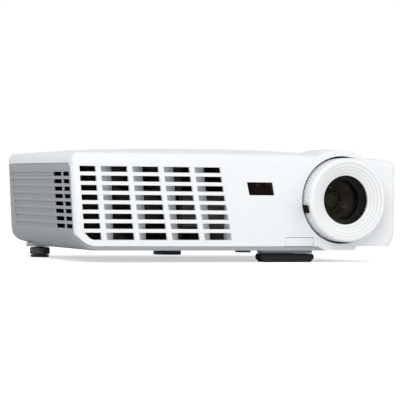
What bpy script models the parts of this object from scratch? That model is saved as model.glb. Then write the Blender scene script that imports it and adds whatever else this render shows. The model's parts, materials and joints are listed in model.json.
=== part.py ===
"""Portable lamp projector with a zoom lens, a tilt foot and its inside parts.

World frame: +X towards the lens end, +Y towards the back, +Z up, the feet stand on Z = 0.
Sizes are in metres. Distances called "back" are measured from the front face.
"""

import math

import bmesh
import bpy
from mathutils import Matrix, Vector

# Body
BODY_WIDTH = 0.3116
BODY_DEPTH = 0.247
UNDERSIDE = 0.0106
EDGE_HEIGHT = 0.0945
CROWN_RISE = 0.0058
EDGE_ROUND = 0.006
FRONT_CORNER = 0.0052
REAR_CORNER = 0.016
LOWER_ROUND = 0.016
TAIL_RUN = 0.078
TAIL_RISE = 0.0045
TAIL_ROUND = 0.030
WALL = 0.0024
SIDE_TAPER_SHARE = 0.111
LEFT_LEAN_SHARE = 0.065
DOME_POWER = 3.0
RIGHT_FALL = 0.0034
RIGHT_FALL_RUN = 0.105
SEAM = 0.0003
OVERRUN = 0.002
WELD_REACH = 0.000004

# White shell against grey case
BEZEL_DEPTH = 0.008
SIDE_PANEL_TOP = 0.0857
PANEL_CORNER = 0.008
FASCIA_LOW = 0.0142
FASCIA_LEFT_ROUND = 0.0215
FASCIA_RIGHT_ROUND = 0.012
FASCIA_LEFT_INSET = 0.002
STEP_FROM_RIGHT = 0.0418
STEP_DEPTH = 0.056

# Exhaust grille
GRILLE_ROWS = 8
GRILLE_COLUMNS = 5
GRILLE_TOP = 0.0831
ROW_PITCH = 0.00816
ROW_OPENING = 0.0049
LAST_ROW_EXTRA = 0.0014
TOP_RIGHT_EDGE_FROM_SIDE = 0.0219
TOP_COLUMN_PITCH = 0.0292
LOW_RIGHT_EDGE_FROM_SIDE = 0.0277
LOW_COLUMN_PITCH = 0.0305
RIB_WIDTH = 0.0045
TOP_LEFT_EDGE_FROM_SIDE = 0.0069
LOW_LEFT_EDGE_FROM_SIDE = 0.012
GRILLE_CORNER = 0.010
VANE_DEPTH = 0.016
VANE_TOP_SWEEP = 0.0172
VANE_LOW_SWEEP = 0.0134
VANE_WALL = 0.0016
VANE_RAIL = 0.0020

# Lens and its collar
LENS_FROM_RIGHT = 0.0549
LENS_Z = 0.0556
COLLAR_WIDTH = 0.006
RING_CLEARANCE = 0.0018
COLLAR_SLEEVE = 0.012
COLLAR_SLEEVE_WALL = 0.0016
COLLAR_ROUND = 0.0025
HUMP_DEPTH = 0.075
RING_PROUD = 0.014
RING_RADIUS = 0.0372
RING_SKIRT = 0.010
RING_WALL = 0.0022
RING_RIM = 0.0026
RING_OPENING = 0.0218
RING_OPENING_BACK = 0.0055
RING_STEP = 0.0007
KNURL_COUNT = 64
KNURL_DEPTH = 0.0005
KNURL_FRONT = 0.0032
CELL_RADIUS = 0.0232
CELL_BORE = 0.0190
CELL_FRONT = -0.0035
CELL_REAR = 0.030
CELL_LIP = 0.0012
CELL_LIP_BORE = 0.0216
CELL_LIP_DEPTH = 0.0055
CELL_TRAVEL = 0.0015
FRONT_GLASS_EDGE = 0.0030
FRONT_GLASS_BULGE = 0.0032
GLASS_FLAT_SHARE = 0.6
BARREL_WALL = 0.0030
BARREL_FRONT = 0.004
BARREL_REAR = 0.0600
BARREL_FLANGE = 0.0035
BARREL_FLANGE_RADIUS = 0.0330
REAR_GLASS_RADIUS = 0.0140
REAR_GLASS_BACK = 0.046
REAR_GLASS_THICK = 0.006
ZOOM_RING_BACK = 0.0106
ZOOM_RING_LENGTH = 0.009
ZOOM_RING_PROUD = 0.0008
LEVER_ANGLE = math.radians(192.7)
LEVER_WIDTH = 0.0070
LEVER_THICK = 0.0009
LEVER_REACH = 0.0085

# Infrared window
IR_TOP_LEFT_FROM_RIGHT = 0.1474
IR_TOP_RIGHT_FROM_RIGHT = 0.1234
IR_LOW_LEFT_FROM_RIGHT = 0.1448
IR_LOW_RIGHT_FROM_RIGHT = 0.1213
IR_TOP = 0.0702
IR_LOW = 0.0594
IR_THICK = 0.0016
IR_SET_IN = 0.0003
IR_BOARD_SIZE = (0.020, 0.0014, 0.022)
IR_EYE_SIZE = (0.0060, 0.0030, 0.0070)

# Tilt foot and its button
FOOT_FROM_RIGHT = 0.1017
FOOT_WIDTH = 0.0523
FOOT_DEPTH = 0.0130
FOOT_HEIGHT = 0.0077
FOOT_SEAT_INSET = 0.0015
FOOT_BACK = 0.0185
FOOT_CHAMFER = 0.0034
STEM_WIDTH = 0.012
STEM_DEPTH = 0.009
STEM_TOP = 0.052
GUIDE_GAP = 0.0004
GUIDE_WALL = 0.0022
GUIDE_TOP = 0.036
BUTTON_LEFT_FROM_RIGHT = 0.1095
BUTTON_RIGHT_FROM_RIGHT = 0.0825
BUTTON_LOW = 0.0143
BUTTON_TOP = 0.0219
BUTTON_GAP = 0.0004
BUTTON_THICK = 0.0040
BUTTON_TRAVEL = 0.0025
BUTTON_FINGER = 0.0035
BUTTON_FLANGE = 0.0012

# Rear feet and bosses
REAR_FOOT_FROM_SIDE = 0.0398
REAR_FOOT_BACK = 0.185
REAR_FOOT_RADIUS = 0.0092
PAD_RADIUS = 0.0086
PAD_HEIGHT = 0.0022
KNOB_TOP = 0.0092
SCREW_RADIUS = 0.0030
SCREW_TOP = 0.0290
SCREW_BOSS_RADIUS = 0.0065
SCREW_BOSS_TOP = 0.0240
FOOT_FLANGE_RADIUS = 0.0125
FOOT_FLANGE_LOW = 0.0098
BOSS_X = 0.011
BOSS_RADIUS = 0.013
BOSS_LOW = 0.0022
SMALL_BOSS_FROM_RIGHT = 0.0668
SMALL_BOSS_RADIUS = 0.0075
SMALL_BOSS_LOW = 0.0042
BOSS_HOLE = 0.0021
BOSS_HOLE_DEPTH = 0.006

# Side louvres
LOUVRE_ROWS = 8
LOUVRE_LOW = 0.0743
LOUVRE_PITCH = 0.00644
LOUVRE_HEIGHT = 0.0036
LOUVRE_DEPTH = 0.0010
LOUVRE_GAP = 0.0030
LOUVRE_END = 0.226
LOUVRE_END_LEAN_SHARE = 0.30
SLOT_HEIGHT = 0.0037
SLOT_LENGTHS = (0.0218, 0.0295)
SLOT_STARTS = (0.0137, 0.0395)
SLOT_LEAN_SHARE = 0.09
SLOT_SKIN = 0.0011
SLOT_POCKET_MARGIN = 0.0010

# Rear terminals
TERMINAL_LEFT_FROM_RIGHT = 0.1918
TERMINAL_WIDTH = 0.144
TERMINAL_LOW = 0.0475
TERMINAL_HEIGHT = 0.0300
TRAY_DEPTH = 0.0068
TRAY_RIM = 0.0020
TRAY_FLOOR = 0.0018
SOCKET_MARGIN = 0.0007
SOCKET_SPACE = 0.0014
SOCKET_FIT = 0.0003
SUB_D_WIDTH = 0.0308
SUB_D_HEIGHT = 0.0125
SUB_D_SHELL_WIDTH = 0.0185
SUB_D_SHELL_HEIGHT = 0.0090
SUB_D_SHELL_WALL = 0.0006
SUB_D_PROUD = 0.0045
SUB_D_DEPTH = 0.0120
HDMI_WIDTH = 0.0162
HDMI_HEIGHT = 0.0068
HDMI_DEPTH = 0.0120
USB_WIDTH = 0.0120
USB_HEIGHT = 0.0110
USB_DEPTH = 0.0140
SOCKET_PROUD = 0.0008
SOCKET_SHELL = 0.0008
SOCKET_CAVITY = 0.0095
JACK_WIDTH = 0.0100
JACK_HEIGHT = 0.0110
JACK_DEPTH = 0.0125
JACK_RADIUS = 0.0042
JACK_BORE = 0.0017
JACK_PROUD = 0.0045
SMALL_JACK_WIDTH = 0.0086
SMALL_JACK_RADIUS = 0.0036
SMALL_JACK_PROUD = 0.0012

# Mains inlet
INLET_FROM_LEFT = 0.0738
INLET_WIDTH = 0.0280
INLET_HEIGHT = 0.0205
INLET_LOW = 0.0500
INLET_DEPTH = 0.0260
INLET_WALL = 0.0016
INLET_CAVITY = 0.0215
INLET_FLANGE = 0.0026
INLET_FLANGE_THICK = 0.0018
INLET_SET_IN = 0.0004
PIN_WIDTH = 0.0040
PIN_THICK = 0.0020
PIN_LENGTH = 0.0130
PIN_SPREAD = 0.0070
PIN_DROP = 0.0020

# Keys on the top
KEY_BACK = 0.168
KEY_X = 0.018
KEY_SPACING = 0.0125
KEY_RADIUS = 0.0052
SMALL_KEY_RADIUS = 0.0046
KEY_PROUD = 0.0003
KEY_TRAVEL = 0.0006
KEY_FIT = 0.0003
KEY_BOARD_MARGIN = 0.0120
KEY_BOARD_DROP = 0.0120
KEY_POST_RADIUS = 0.0026
STATUS_BACK = 0.146
STATUS_SIZE = (0.030, 0.0030)

# Cooling
FAN_SIZE = 0.070
FAN_DEPTH = 0.020
FAN_FROM_LEFT = 0.0778
FAN_BACK = 0.0235
FAN_BORE = 0.0330
FAN_HUB = 0.0150
FAN_TIP = 0.0320
FAN_STRUT = 0.0030
FAN_STRUT_DEPTH = 0.0030
FAN_BLADES = 7
FAN_BLADE_THICK = 0.0014
FAN_BLADE_CHORD = 0.0105
FAN_BLADE_PITCH = math.radians(52)
BLOWER_FROM_LEFT = 0.1678
BLOWER_BACK = 0.062
BLOWER_RADIUS = 0.0240
BLOWER_HEIGHT = 0.0160
BLOWER_WALL = 0.0015
BLOWER_OUTLET = 0.0200
BLOWER_OUTLET_REACH = 0.0300
BLOWER_INLET = 0.0150
BLOWER_WHEEL = 0.0205
BLOWER_HUB = 0.0080
BLOWER_FINS = 12
BLOWER_FIN_THICK = 0.0010
BLOWER_DISC = 0.0012

# Lamp
LAMP_FROM_LEFT = 0.0778
LAMP_BACK = 0.102
LAMP_SIZE = (0.076, 0.068, 0.070)
LAMP_WALL = 0.0025
REFLECTOR_DEPTH = 0.0340
REFLECTOR_NECK = 0.0062
REFLECTOR_WALL = 0.0022
REFLECTOR_SET_IN = 0.0080
BURNER_BULB = 0.0075
BURNER_TAIL = 0.0120
BURNER_LENGTH = 0.0420
LAMP_DOOR_SIZE = (0.070, 0.074)
LAMP_DOOR_SCREW = 0.0030

# Light engine
ENGINE_LEFT_FROM_RIGHT = 0.0968
ENGINE_RIGHT_FROM_RIGHT = 0.0288
ENGINE_DEPTH = 0.0620
ENGINE_TOP = 0.0800
ARM_BACK = 0.0920
ARM_WIDTH = 0.0280
ARM_LEFT_FROM_LEFT = 0.1378
ARM_FLOOR = 0.0440
ARM_WALL = 0.0030
ARM_TOP = 0.0620
ROD_SIZE = (0.0400, 0.0060, 0.0050)
WHEEL_RADIUS = 0.0220
WHEEL_THICK = 0.0010
WHEEL_HUB = 0.0090
WHEEL_SPACE = 0.0042
MOTOR_RADIUS = 0.0080
BRACKET_THICK = 0.0030
BRACKET_WIDTH = 0.0220
CHIP_BOARD_SIZE = (0.0016, 0.0460, 0.0400)
CHIP_BOARD_LOW = 0.0300
HEATSINK_FINS = 7
HEATSINK_BASE = 0.0020
HEATSINK_DEPTH = 0.0085
HEATSINK_SIZE = 0.0320
FIN_THICK = 0.0012

# Boards and speaker
BOARD_THICK = 0.0016
MAIN_BOARD_DEPTH = 0.0780
MAIN_BOARD_MARGIN = 0.0020
POST_RADIUS = 0.0030
POST_INSET = 0.0080
POWER_BOARD_SIZE = (0.0720, 0.0420)
POWER_BOARD_FROM_LEFT = 0.0888
POWER_BOARD_BACK = 0.1600
POWER_PART_SIZE = (0.0180, 0.0200, 0.0220)
POWER_PART_FALL_SHARE = 0.2
POWER_POST = 0.0050
BALLAST_SIZE = (0.0480, 0.0300, 0.0220)
BALLAST_FROM_RIGHT = 0.1318
BALLAST_BACK = 0.1280
SPEAKER_SIZE = (0.0340, 0.0340, 0.0200)
SPEAKER_FROM_RIGHT = 0.0818
SPEAKER_BACK = 0.1290
SPEAKER_CONE = 0.0140
SPEAKER_DISH = 0.0040

# Places of the keys: shares of their spacing, across and along
KEY_PLACE_SHARES = {
    "enter_key": (0, 0),
    "left_key": (-1, 0),
    "right_key": (1, 0),
    "up_key": (0, 1),
    "down_key": (0, -1),
    "menu_key": (-2.3, 0.6),
    "source_key": (-2.3, -0.6),
    "power_key": (-3.6, 0),
}

# Steps inside the focus ring: shares of the way from its opening to its rim
RING_STEP_SHARES = (0.30, 0.45, 0.72)

# Worked out from the sizes above
FRONT_Y = (RING_PROUD - BODY_DEPTH) / 2
REAR_Y = FRONT_Y + BODY_DEPTH
MID_Y = (FRONT_Y + REAR_Y) / 2
FLOOR = UNDERSIDE + WALL
SEAT = FLOOR + SEAM
CROWN_HEIGHT = EDGE_HEIGHT + CROWN_RISE
TOP_RIGHT_EDGE = TOP_RIGHT_EDGE_FROM_SIDE - BODY_WIDTH / 2
LOW_RIGHT_EDGE = LOW_RIGHT_EDGE_FROM_SIDE - BODY_WIDTH / 2
TOP_LEFT_EDGE = TOP_LEFT_EDGE_FROM_SIDE - BODY_WIDTH / 2
LOW_LEFT_EDGE = LOW_LEFT_EDGE_FROM_SIDE - BODY_WIDTH / 2
FAN_X = FAN_FROM_LEFT - BODY_WIDTH / 2
LAMP_X = LAMP_FROM_LEFT - BODY_WIDTH / 2
INLET_X = INLET_FROM_LEFT - BODY_WIDTH / 2
POWER_BOARD_X = POWER_BOARD_FROM_LEFT - BODY_WIDTH / 2
BLOWER_X = BLOWER_FROM_LEFT - BODY_WIDTH / 2
LENS_X = BODY_WIDTH / 2 - LENS_FROM_RIGHT
FOOT_X = BODY_WIDTH / 2 - FOOT_FROM_RIGHT
SMALL_BOSS_X = BODY_WIDTH / 2 - SMALL_BOSS_FROM_RIGHT
SPEAKER_X = BODY_WIDTH / 2 - SPEAKER_FROM_RIGHT
BALLAST_X = BODY_WIDTH / 2 - BALLAST_FROM_RIGHT
ENGINE_LEFT = BODY_WIDTH / 2 - ENGINE_LEFT_FROM_RIGHT
ENGINE_RIGHT = BODY_WIDTH / 2 - ENGINE_RIGHT_FROM_RIGHT
IR_TOP_LEFT = BODY_WIDTH / 2 - IR_TOP_LEFT_FROM_RIGHT
IR_TOP_RIGHT = BODY_WIDTH / 2 - IR_TOP_RIGHT_FROM_RIGHT
IR_LOW_LEFT = BODY_WIDTH / 2 - IR_LOW_LEFT_FROM_RIGHT
IR_LOW_RIGHT = BODY_WIDTH / 2 - IR_LOW_RIGHT_FROM_RIGHT
BUTTON_LEFT = BODY_WIDTH / 2 - BUTTON_LEFT_FROM_RIGHT
BUTTON_RIGHT = BODY_WIDTH / 2 - BUTTON_RIGHT_FROM_RIGHT
TERMINAL_LEFT = BODY_WIDTH / 2 - TERMINAL_LEFT_FROM_RIGHT
ARM_LEFT = ARM_LEFT_FROM_LEFT - BODY_WIDTH / 2
REAR_FOOT_X = BODY_WIDTH / 2 - REAR_FOOT_FROM_SIDE
COLLAR_BORE = RING_RADIUS + RING_CLEARANCE
COLLAR_RADIUS = COLLAR_BORE + COLLAR_WIDTH
ZOOM_RING_RADIUS = RING_RADIUS + ZOOM_RING_PROUD
GRILLE_DROP = ROW_PITCH * (GRILLE_ROWS - 1)

# Places of the top's grid lines: shares of the edge rounding, then of the corner, then of the middle
EDGE_LINE_SHARES = (0, 0.134, 0.5, 1)
CORNER_LINE_SHARES = (0.6, 1)
MIDDLE_LINE_SHARES = (0.68, 0.36)

MODEL = bpy.data.collections.new("projector")
CUTTERS = bpy.data.collections.new("cutters")


def clear_scene():
    for old in list(bpy.data.objects):
        bpy.data.objects.remove(old)
    bpy.context.scene.collection.children.link(MODEL)
    bpy.context.scene.collection.children.link(CUTTERS)


def make_material(name, colour, roughness, metallic=0):
    material = bpy.data.materials.new(name)
    material.use_nodes = True
    shader = material.node_tree.nodes["Principled BSDF"]
    shader.inputs["Base Color"].default_value = (*colour, 1)
    shader.inputs["Roughness"].default_value = roughness
    shader.inputs["Metallic"].default_value = metallic
    return material


FINISHES = {
    "white_plastic": ((0.86, 0.87, 0.88), 0.42, 0),
    "grey_plastic": ((0.36, 0.38, 0.40), 0.50, 0),
    "dark_plastic": ((0.03, 0.03, 0.035), 0.55, 0),
    "charcoal_plastic": ((0.045, 0.048, 0.053), 0.50, 0),
    "rubber": ((0.02, 0.02, 0.02), 0.85, 0),
    "window": ((0.03, 0.008, 0.008), 0.10, 0),
    "glass": ((0.85, 0.92, 0.90), 0.03, 0),
    "board": ((0.02, 0.16, 0.07), 0.50, 0),
    "steel": ((0.62, 0.62, 0.63), 0.35, 1),
    "aluminium": ((0.72, 0.73, 0.74), 0.40, 1),
    "mirror": ((0.80, 0.82, 0.85), 0.08, 1),
    "ceramic": ((0.80, 0.79, 0.75), 0.60, 0),
}


def part(name, mesh, finish, smooth=False):
    """A named sub-part with a material of its own."""
    item = bpy.data.objects.new(name, mesh)
    MODEL.objects.link(item)
    mesh.materials.clear()
    mesh.materials.append(make_material(f"{name}_{finish}", *FINISHES[finish]))
    if smooth:
        mesh.shade_smooth()
        mesh.set_sharp_from_angle(angle=math.radians(35))
    return item


def cutter(name, mesh):
    """A tool shape, left out of the model."""
    item = bpy.data.objects.new(name, mesh)
    CUTTERS.objects.link(item)
    item.hide_render = True
    item.display_type = "WIRE"
    return item


def combine(item, tool, operation):
    change = item.modifiers.new(f"{operation.lower()}_{tool.name}", "BOOLEAN")
    change.operation = operation
    change.solver = "EXACT"
    change.object = tool
    return item


def cut(item, *tools):
    for tool in tools:
        combine(item, tool, "DIFFERENCE")
    return item


def join(item, *tools):
    for tool in tools:
        combine(item, tool, "UNION")
    return item


def weld(item):
    """Closes up points that Booleans leave a hair's breadth apart."""
    change = item.modifiers.new("weld", "WELD")
    change.merge_threshold = WELD_REACH
    return item


def settle(item):
    """The mesh with all its modifiers, in world places."""
    graph = bpy.context.evaluated_depsgraph_get()
    mesh = bpy.data.meshes.new_from_object(item.evaluated_get(graph))
    mesh.transform(item.matrix_world)
    return mesh


def mesh_from(form, name):
    mesh = bpy.data.meshes.new(name)
    form.to_mesh(mesh)
    form.free()
    return mesh


def add_box(form, low, high):
    """A box between two corners, added to a bmesh."""
    made = bmesh.ops.create_cube(form, size=1)["verts"]
    middle = (Vector(low) + Vector(high)) / 2
    sides = Vector(high) - Vector(low)
    bmesh.ops.scale(form, verts=made, vec=sides)
    bmesh.ops.translate(form, verts=made, vec=middle)
    return made


def boxes(name, *pairs):
    form = bmesh.new()
    for low, high in pairs:
        add_box(form, low, high)
    return mesh_from(form, name)


def rods(name, radius, length, places, sides=24, turn=(0, 0, 0)):
    """Cylinders along local Z, turned, with their middles at the places."""
    form = bmesh.new()
    for place in places:
        made = bmesh.ops.create_cone(
            form, cap_ends=True, segments=sides, radius1=radius, radius2=radius, depth=length
        )["verts"]
        for angle, axis in zip(turn, "XYZ"):
            bmesh.ops.rotate(form, verts=made, matrix=turning(angle, axis))
        bmesh.ops.translate(form, verts=made, vec=place)
    return mesh_from(form, name)


def turning(angle, axis):
    return Matrix.Rotation(angle, 3, axis)


ALONG_Y = (math.radians(90), 0, 0)
ALONG_X = (0, math.radians(90), 0)


def turned(name, profile, steps=48, closed=True):
    """A profile of (radius, height) points turned round local Z, outer side first, from top to bottom."""
    form = bmesh.new()
    points = [form.verts.new((radius, 0, height)) for radius, height in profile]
    for first, second in zip(points, points[1:]):
        form.edges.new((first, second))
    if closed:
        form.edges.new((points[-1], points[0]))
    item = bpy.data.objects.new(name, mesh_from(form, name))
    CUTTERS.objects.link(item)
    screw = item.modifiers.new("turning", "SCREW")
    screw.steps = steps
    screw.render_steps = steps
    screw.use_merge_vertices = True
    screw.merge_threshold = SEAM / 30
    screw.use_smooth_shade = True
    bpy.context.view_layer.update()
    mesh = settle(item)
    bpy.data.objects.remove(item)
    mesh.name = name
    return mesh


def slab(name, outline, low, high):
    """A flat outline given thickness along local Z."""
    curve = bpy.data.curves.new(name, "CURVE")
    curve.dimensions = "2D"
    curve.fill_mode = "BOTH"
    curve.extrude = (high - low) / 2
    spline = curve.splines.new("POLY")
    spline.points.add(len(outline) - 1)
    for point, (x, y) in zip(spline.points, outline):
        point.co = (x, y, 0, 1)
    spline.use_cyclic_u = True
    item = bpy.data.objects.new(name, curve)
    CUTTERS.objects.link(item)
    item.location.z = (low + high) / 2
    bpy.context.view_layer.update()
    mesh = settle(item)
    bpy.data.objects.remove(item)
    form = bmesh.new()
    form.from_mesh(mesh)
    bmesh.ops.remove_doubles(form, verts=form.verts, dist=SEAM / 30)
    bmesh.ops.recalc_face_normals(form, faces=form.faces)
    return mesh_from(form, name)


def slab_along_y(name, outline, front, rear):
    """An outline in X and Z given thickness along Y."""
    mesh = slab(name, outline, -rear, -front)
    mesh.transform(turning(math.radians(90), "X").to_4x4())
    return mesh


def slab_along_x(name, outline, left, right):
    """An outline in Y and Z given thickness along X."""
    mesh = slab(name, outline, left, right)
    mesh.transform((turning(math.radians(90), "Z") @ turning(math.radians(90), "X")).to_4x4())
    return mesh


def arc(centre_x, centre_y, radius, start, end, steps=6):
    """Points on an arc, angles in degrees."""
    points = []
    for index in range(steps + 1):
        angle = math.radians(start + (end - start) * index / steps)
        points.append((centre_x + radius * math.cos(angle), centre_y + radius * math.sin(angle)))
    return points


# Outer and inner form of the body


def grid_lines(half):
    """Places of the grid lines from one edge to the other, for one half size."""
    from_edge = [share * EDGE_ROUND for share in EDGE_LINE_SHARES]
    from_edge += [FRONT_CORNER]
    from_edge += [share * REAR_CORNER for share in CORNER_LINE_SHARES]
    outer = [half - distance for distance in sorted(from_edge)]
    inner = [share * half for share in MIDDLE_LINE_SHARES]
    positive = outer + inner
    return [-place for place in positive] + [0] + positive[::-1]


def rounded_place(x, y, inset):
    """A grid point drawn into the rounded corners, and its distance from the edge."""
    half_x = BODY_WIDTH / 2 - inset
    half_y = BODY_DEPTH / 2 - inset
    x *= half_x / (BODY_WIDTH / 2)
    y *= half_y / (BODY_DEPTH / 2)
    radius = (REAR_CORNER if y > 0 else FRONT_CORNER) - inset
    over_x = (abs(x) - half_x + radius) / radius
    over_y = (abs(y) - half_y + radius) / radius
    if over_x <= 0 or over_y <= 0:
        return x, y, min(half_x - abs(x), half_y - abs(y))
    reach = max(over_x, over_y)
    shrink = reach / math.hypot(over_x, over_y)
    x = math.copysign(half_x - radius + radius * over_x * shrink, x)
    y = math.copysign(half_y - radius + radius * over_y * shrink, y)
    return x, y, radius * (1 - reach)


def top_height(x, y, edge_distance, inset):
    """Height of the domed top, which falls a little to the right and rolls over at the edge."""
    across = 1 - abs(2 * x / BODY_WIDTH) ** DOME_POWER
    along = 1 - abs(2 * y / BODY_DEPTH) ** DOME_POWER
    roll = EDGE_ROUND - inset
    drop = 0
    if edge_distance < roll:
        drop = roll - math.sqrt(roll**2 - (roll - max(edge_distance, 0)) ** 2)
    past = max(x - BODY_WIDTH / 2 + RIGHT_FALL_RUN, 0) / RIGHT_FALL_RUN
    return EDGE_HEIGHT - inset + CROWN_RISE * across * along - RIGHT_FALL * past**2 - drop


def side_draw(x, height, inset):
    """How far a side point moves in for the lean of the left side and the rounding below."""
    share = -2 * x / BODY_WIDTH
    lean = LEFT_LEAN_SHARE * max(EDGE_HEIGHT - EDGE_ROUND - height, 0) * max(share, 0)
    roll = LOWER_ROUND - inset
    over = UNDERSIDE + inset + roll - height
    tuck = 0
    if over > 0:
        tuck = roll - math.sqrt(max(roll**2 - min(over, roll) ** 2, 0))
    return lean + tuck * share


def body_form(name, inset):
    """The whole outside of the body as one block, set in by a wall for the inside."""
    lines_x = grid_lines(BODY_WIDTH / 2)
    lines_y = grid_lines(BODY_DEPTH / 2)
    form = bmesh.new()
    columns, rows = len(lines_x) - 1, len(lines_y) - 1
    bmesh.ops.create_grid(form, x_segments=columns, y_segments=rows, size=1)
    for point in form.verts:
        x = lines_x[round((point.co.x + 1) / 2 * columns)]
        y = lines_y[round((point.co.y + 1) / 2 * rows)]
        x, y, distance = rounded_place(x, y, inset)
        point.co = (x, y, top_height(x, y, distance, inset))
    rim = [edge for edge in form.edges if edge.is_boundary]
    roll = LOWER_ROUND - inset
    heights = [(EDGE_HEIGHT + UNDERSIDE) / 2, UNDERSIDE + inset + roll]
    heights += [UNDERSIDE + inset + roll * (1 - math.sin(math.radians(turn))) for turn in (22, 45, 67)]
    heights.append(UNDERSIDE + inset)
    for height in heights:
        ring = bmesh.ops.extrude_edge_only(form, edges=rim)["geom"]
        for point in (piece for piece in ring if isinstance(piece, bmesh.types.BMVert)):
            point.co.z = height
        rim = [piece for piece in ring if isinstance(piece, bmesh.types.BMEdge)]
    bmesh.ops.holes_fill(form, edges=rim, sides=0)
    for point in form.verts:
        draw = side_draw(point.co.x, point.co.z, inset)
        back = point.co.y + BODY_DEPTH / 2
        point.co.x = (point.co.x + draw) * (1 - 2 * SIDE_TAPER_SHARE * back / BODY_WIDTH)
        point.co.y += MID_Y
    bmesh.ops.recalc_face_normals(form, faces=form.faces)
    form_mesh = mesh_from(form, name)
    block = cutter(name, form_mesh)
    combine(block, tail_tool(f"{name}_tail", inset), "INTERSECT")
    join(block, hump_tool(f"{name}_hump", inset))
    cut(block, step_tool(f"{name}_step", inset))
    bpy.context.view_layer.update()
    settled = settle(block)
    bpy.data.objects.remove(block)
    return cutter(f"{name}_form", settled)


def tail_tool(name, inset):
    """Side view of the body: the underside rises and rounds up into the back."""
    low = UNDERSIDE + inset
    rear = REAR_Y - inset
    roll = TAIL_ROUND - inset
    top = CROWN_HEIGHT + OVERRUN
    front = FRONT_Y - OVERRUN
    outline = [(front, top), (rear + OVERRUN, top), (rear + OVERRUN, low + TAIL_RISE + roll + OVERRUN)]
    outline += arc(rear - roll + SEAM, low + TAIL_RISE + roll, roll, 0, -90, 8)
    drop = OVERRUN / 2
    slope_end = REAR_Y - TAIL_RUN - drop * (TAIL_RUN - TAIL_ROUND) / TAIL_RISE
    outline += [(slope_end, low - drop), (front, low - drop)]
    mesh = slab_along_x(name, outline, -BODY_WIDTH, BODY_WIDTH)
    return cutter(name, mesh)


def step_tool(name, inset):
    """Beside the lens the underside is raised to the line of the white front."""
    left = BODY_WIDTH / 2 - STEP_FROM_RIGHT - inset
    outline = [
        (left, UNDERSIDE - OVERRUN),
        (BODY_WIDTH, UNDERSIDE - OVERRUN),
        (BODY_WIDTH, FASCIA_LOW + inset),
        (left + OVERRUN, FASCIA_LOW + inset),
    ]
    return cutter(name, slab_along_y(name, outline, FRONT_Y - OVERRUN, FRONT_Y + STEP_DEPTH + inset))


def hump_tool(name, inset):
    """The lens housing, a round hump through the front face and the top."""
    radius = COLLAR_RADIUS - inset
    front = FRONT_Y + inset
    rear = FRONT_Y + HUMP_DEPTH - inset
    bevel = COLLAR_ROUND if inset == 0 else SEAM
    profile = [
        (0, -front),
        (radius - bevel, -front),
        (radius - bevel / 4, -front - bevel / 4),
        (radius, -front - bevel),
        (radius, -rear + HUMP_DEPTH / 3),
        (radius - HUMP_DEPTH / 6, -rear),
        (0, -rear),
    ]
    mesh = turned(name, profile, 56, closed=False)
    mesh.transform(turning(math.radians(90), "X").to_4x4())
    for point in mesh.vertices:
        point.co.x += LENS_X
        point.co.z += LENS_Z
    return cutter(name, mesh)


def body_copy(name, source, finish):
    return part(name, source.data.copy(), finish)


# White region: everything that the upper shell covers


def white_region(name, grow):
    """The space of the white shell, grown by a seam where the grey case is cut back from it."""
    bezel = FRONT_Y + BEZEL_DEPTH + grow
    line = SIDE_PANEL_TOP - grow
    front, rear = FRONT_Y - OVERRUN, REAR_Y + OVERRUN
    top, low = CROWN_HEIGHT + OVERRUN * 2, UNDERSIDE - OVERRUN
    outline = [(front, low), (bezel, low)]
    outline += arc(bezel + PANEL_CORNER, line - PANEL_CORNER, PANEL_CORNER, 180, 90)
    outline += [(rear, line), (rear, top), (front, top)]
    region = cutter(name, slab_along_x(name, outline, -BODY_WIDTH, BODY_WIDTH))
    fascia = FASCIA_LOW - grow
    left = -BODY_WIDTH / 2 + FASCIA_LEFT_INSET - grow
    right = BODY_WIDTH / 2
    outside = BODY_WIDTH / 2 + OVERRUN * 2
    left_round, right_round = FASCIA_LEFT_ROUND, FASCIA_RIGHT_ROUND
    outline = [(outside, top + OVERRUN), (-outside, top + OVERRUN), (-outside, fascia + left_round * 2)]
    outline += arc(left + left_round, fascia + left_round, left_round, 180, 270, 10)
    outline += arc(right - right_round, fascia + right_round, right_round, 270, 360)
    outline += [(outside, fascia + right_round * 2)]
    front_view = slab_along_y(f"{name}_front_view", outline, front - OVERRUN, rear + OVERRUN)
    combine(region, cutter(f"{name}_front_view", front_view), "INTERSECT")
    ring = rods(
        f"{name}_collar",
        COLLAR_RADIUS + WALL + grow,
        bezel - FRONT_Y + OVERRUN,
        [(LENS_X, (bezel + FRONT_Y - OVERRUN) / 2, LENS_Z)],
        56,
        ALONG_Y,
    )
    join(region, cutter(f"{name}_collar", ring))
    return region


# Grille and its vanes


def column_edge(column, height):
    """Right edge of a grille column at a height."""
    first = GRILLE_TOP - ROW_OPENING / 2
    share = (first - height) / GRILLE_DROP
    if column < 0:
        return TOP_LEFT_EDGE + (LOW_LEFT_EDGE - TOP_LEFT_EDGE) * share
    high = TOP_RIGHT_EDGE + TOP_COLUMN_PITCH * column
    low = LOW_RIGHT_EDGE + LOW_COLUMN_PITCH * column
    return high + (low - high) * share


def row_heights(row):
    top = GRILLE_TOP - ROW_PITCH * row
    low = top - ROW_OPENING
    if row == GRILLE_ROWS - 1:
        low -= LAST_ROW_EXTRA
    return low, top


def grille_openings():
    form = bmesh.new()
    front, rear = FRONT_Y - OVERRUN, FRONT_Y + WALL + OVERRUN
    for row in range(GRILLE_ROWS):
        low, top = row_heights(row)
        for column in range(GRILLE_COLUMNS):
            if column == 0 and row == GRILLE_ROWS - 1:
                continue
            for point in add_box(form, (-1, front, low), (1, rear, top)):
                height = point.co.z
                edge = column_edge(column, height)
                if point.co.x < 0:
                    edge = column_edge(column - 1, height) + (RIB_WIDTH if column else 0)
                point.co.x = edge
    return cutter("grille_openings", mesh_from(form, "grille_openings"))


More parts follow.
